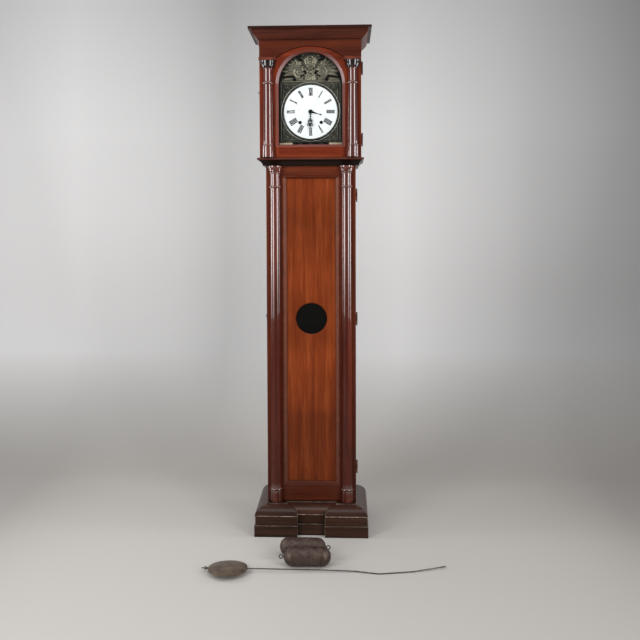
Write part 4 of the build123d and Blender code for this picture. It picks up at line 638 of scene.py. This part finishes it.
def placed(strokes, x, z, mirror=1, flip=1):
    return [dict(s, line=[(x + mirror * a, z + flip * b, w) for a, b, w in s["line"]]) for s in strokes]


crownStrokes = placed(wing, 0, foot) + placed(wing, 0, foot, mirror=-1) + placed(middle, 0, foot)
crown = raisedSheet(-mask["half"], mask["half"], foot - 1, mask["crownTop"], crownStrokes, crownRule)
crownPiece = makePiece("maskCrown", crown, metal["pressedBrass"], "case")
# one corner of the sheet, drawn for the upper right one and mirrored to the others
corner = [{"line": spiral(0, 0, 11, 3, 40, 400, 4.2, 2.4, 22), "rise": 3.6, "reeds": 1},
          {"line": leaf(-8, 10, 180, 46, 5.4), "rise": 3.2, "reeds": 1},
          {"line": leaf(10, -8, -90, 46, 5.4), "rise": 3.2, "reeds": 1},
          {"line": leaf(-12, -4, 232, 15, 4), "rise": 3.0, "reeds": 1},
          {"line": leaf(-26, 4, 214, 17, 4), "rise": 2.8, "reeds": 1},
          {"line": leaf(2, -22, 238, 17, 4), "rise": 2.8, "reeds": 1}]
cornerPlace = (104, 106)
cornerStrokes = [s for mirror in (-1, 1) for flip in (-1, 1)
                 for s in placed(corner, mirror * cornerPlace[0], mask["dialZ"] + flip * cornerPlace[1],
                                 mirror, flip)]
lower = raisedSheet(-mask["half"], mask["half"], mask["low"], foot, cornerStrokes, sheetRule)
lowerPiece = makePiece("maskSheet", lower, metal["smokedBrass"], "case")
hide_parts("dial_mask")
print("mask pressed:", len(crownPiece.data.polygons) + len(lowerPiece.data.polygons), "faces")

# rolled beads, in mm: one round the dial, and a dark bush in each of its two winding holes
beads = {"dialBead": {"at": (0, 0), "ring": 123.0, "wire": 1.3, "front": -98.6, "finish": "beadBrass",
                      "slot": "mask_brass"},
         "windingBushLeft": {"at": (-44.5, -45), "ring": 6.0, "wire": 1.0, "front": -104.6,
                             "finish": "bluedSteel", "slot": "dial_enamel"},
         "windingBushRight": {"at": (44.5, -45), "ring": 6.0, "wire": 1.0, "front": -104.6,
                              "finish": "bluedSteel", "slot": "dial_enamel"}}
beadSides = {"wire": 10, "ring": 96}
for name, bead in beads.items():
    (x, z), ring, wire = bead["at"], bead["ring"] / 1000, bead["wire"] / 1000
    roll = bmesh.new()
    bmesh.ops.create_circle(roll, segments=beadSides["wire"], radius=wire,
                            matrix=Matrix.Translation((ring, 0, 0)) @ Matrix.Rotation(pi / 2, 4, "X"))
    bmesh.ops.spin(roll, geom=roll.verts[:] + roll.edges[:], cent=(0, 0, 0), axis=(0, 0, 1), angle=2 * pi,
                   steps=beadSides["ring"], use_merge=True)
    bmesh.ops.remove_doubles(roll, verts=roll.verts, dist=1e-6)
    bmesh.ops.rotate(roll, verts=roll.verts, cent=(0, 0, 0), matrix=Matrix.Rotation(pi / 2, 3, "X"))
    bmesh.ops.translate(roll, verts=roll.verts, vec=(x / 1000, bead["front"] / 1000,
                                                     (mask["dialZ"] + z) / 1000))
    bmesh.ops.recalc_face_normals(roll, faces=roll.faces)
    makePiece(name, roll, metal[bead["finish"]], "case")

# painted numerals, in mm, lying on the dome of the dial
numerals = {"radius": 83.6, "height": 32.0, "bar": 3.9, "thin": 1.7, "thick": 0.1, "lift": 0.3, "serif": 2.0,
            "aimFrom": -0.2, "cellsAcross": 4, "cellsAlong": 8}
# fired black paint, thinned to grey where the brush was lifted
fired, tree, shader = newMaterial("firedBlackPaint", **{"Roughness": 0.3})
place = addNode(tree, "ShaderNodeTexCoord").outputs["Object"]
thinned = addNode(tree, "ShaderNodeTexNoise", {"Vector": place, "Scale": 160.0, "Detail": 3.0})
ink = addNode(tree, "ShaderNodeValToRGB", {"Fac": thinned.outputs["Fac"]},
              stops=[(0.35, "1b1c1f"), (0.7, "3d3e43")])
tree.links.new(ink.outputs[0], shader.inputs["Base Color"])


# each bar of a letter is (foot, head, which stroke) across the letter, and next is how far the pen moves on
letters = {"I": {"bars": [(0.0, 0.0, "bar")], "next": 5.0},
           "V": {"bars": [(2.0, -0.6, "bar"), (2.4, 5.6, "thin")], "next": 7.8},
           "X": {"bars": [(5.2, -0.2, "bar"), (-0.4, 5.4, "thin")], "next": 7.8}}


def glyphBars(text):
    # each bar is (foot, head, width) measured across the numeral, whose middle is 0
    bars, pen = [], 0.0
    for letter in text:
        bars += [(pen + a, pen + b, numerals[stroke]) for a, b, stroke in letters[letter]["bars"]]
        pen += letters[letter]["next"]
    middle = (pen - letters["I"]["next"]) / 2
    reach = middle + numerals["serif"]
    return [(a - middle, b - middle, w) for a, b, w in bars], (-reach, reach)


plate = nodes["dial_plate"]
into = plate.matrix_world.inverted()
strokes = bmesh.new()
for hour, text in enumerate(["XII", "I", "II", "III", "IIII", "V", "VI", "VII", "VIII", "IX", "X", "XI"]):
    turn = radians(hour * 30)
    out, side = Vector((sin(turn), 0, cos(turn))), Vector((cos(turn), 0, -sin(turn)))
    bars, (left, right) = glyphBars(text)
    half, serif = numerals["height"] / 2, numerals["thin"] / 2
    strips = [(a, b, -half, half, w) for a, b, w in bars]
    strips += [((left + right) / 2, (left + right) / 2, end - serif, end + serif, right - left)
               for end in (-half, half)]
    for a, b, near, far, w in strips:
        made = bmesh.ops.create_grid(strokes, x_segments=numerals["cellsAcross"],
                                     y_segments=numerals["cellsAlong"], size=0.5)
        for vert in made["verts"]:
            t = vert.co.y + 0.5
            up = numerals["radius"] + near + (far - near) * t
            spot = side * (a + (b - a) * t + vert.co.x * w) + out * up
            aim = Vector((spot.x / 1000, numerals["aimFrom"], (mask["dialZ"] + spot.z) / 1000))
            skinPlace = plate.ray_cast(into @ aim, into.to_3x3() @ Vector((0, 1, 0)))[1]
            vert.co = (aim.x, (plate.matrix_world @ skinPlace).y - numerals["lift"] / 1000, aim.z)
bmesh.ops.recalc_face_normals(strokes, faces=strokes.faces)
for face in strokes.faces:
    if face.normal.y > 0:
        face.normal_flip()
bmesh.ops.solidify(strokes, geom=strokes.faces[:], thickness=numerals["thick"] / 1000)
makePiece("dialNumerals", strokes, fired, "case", smooth=False)
print("numerals painted")
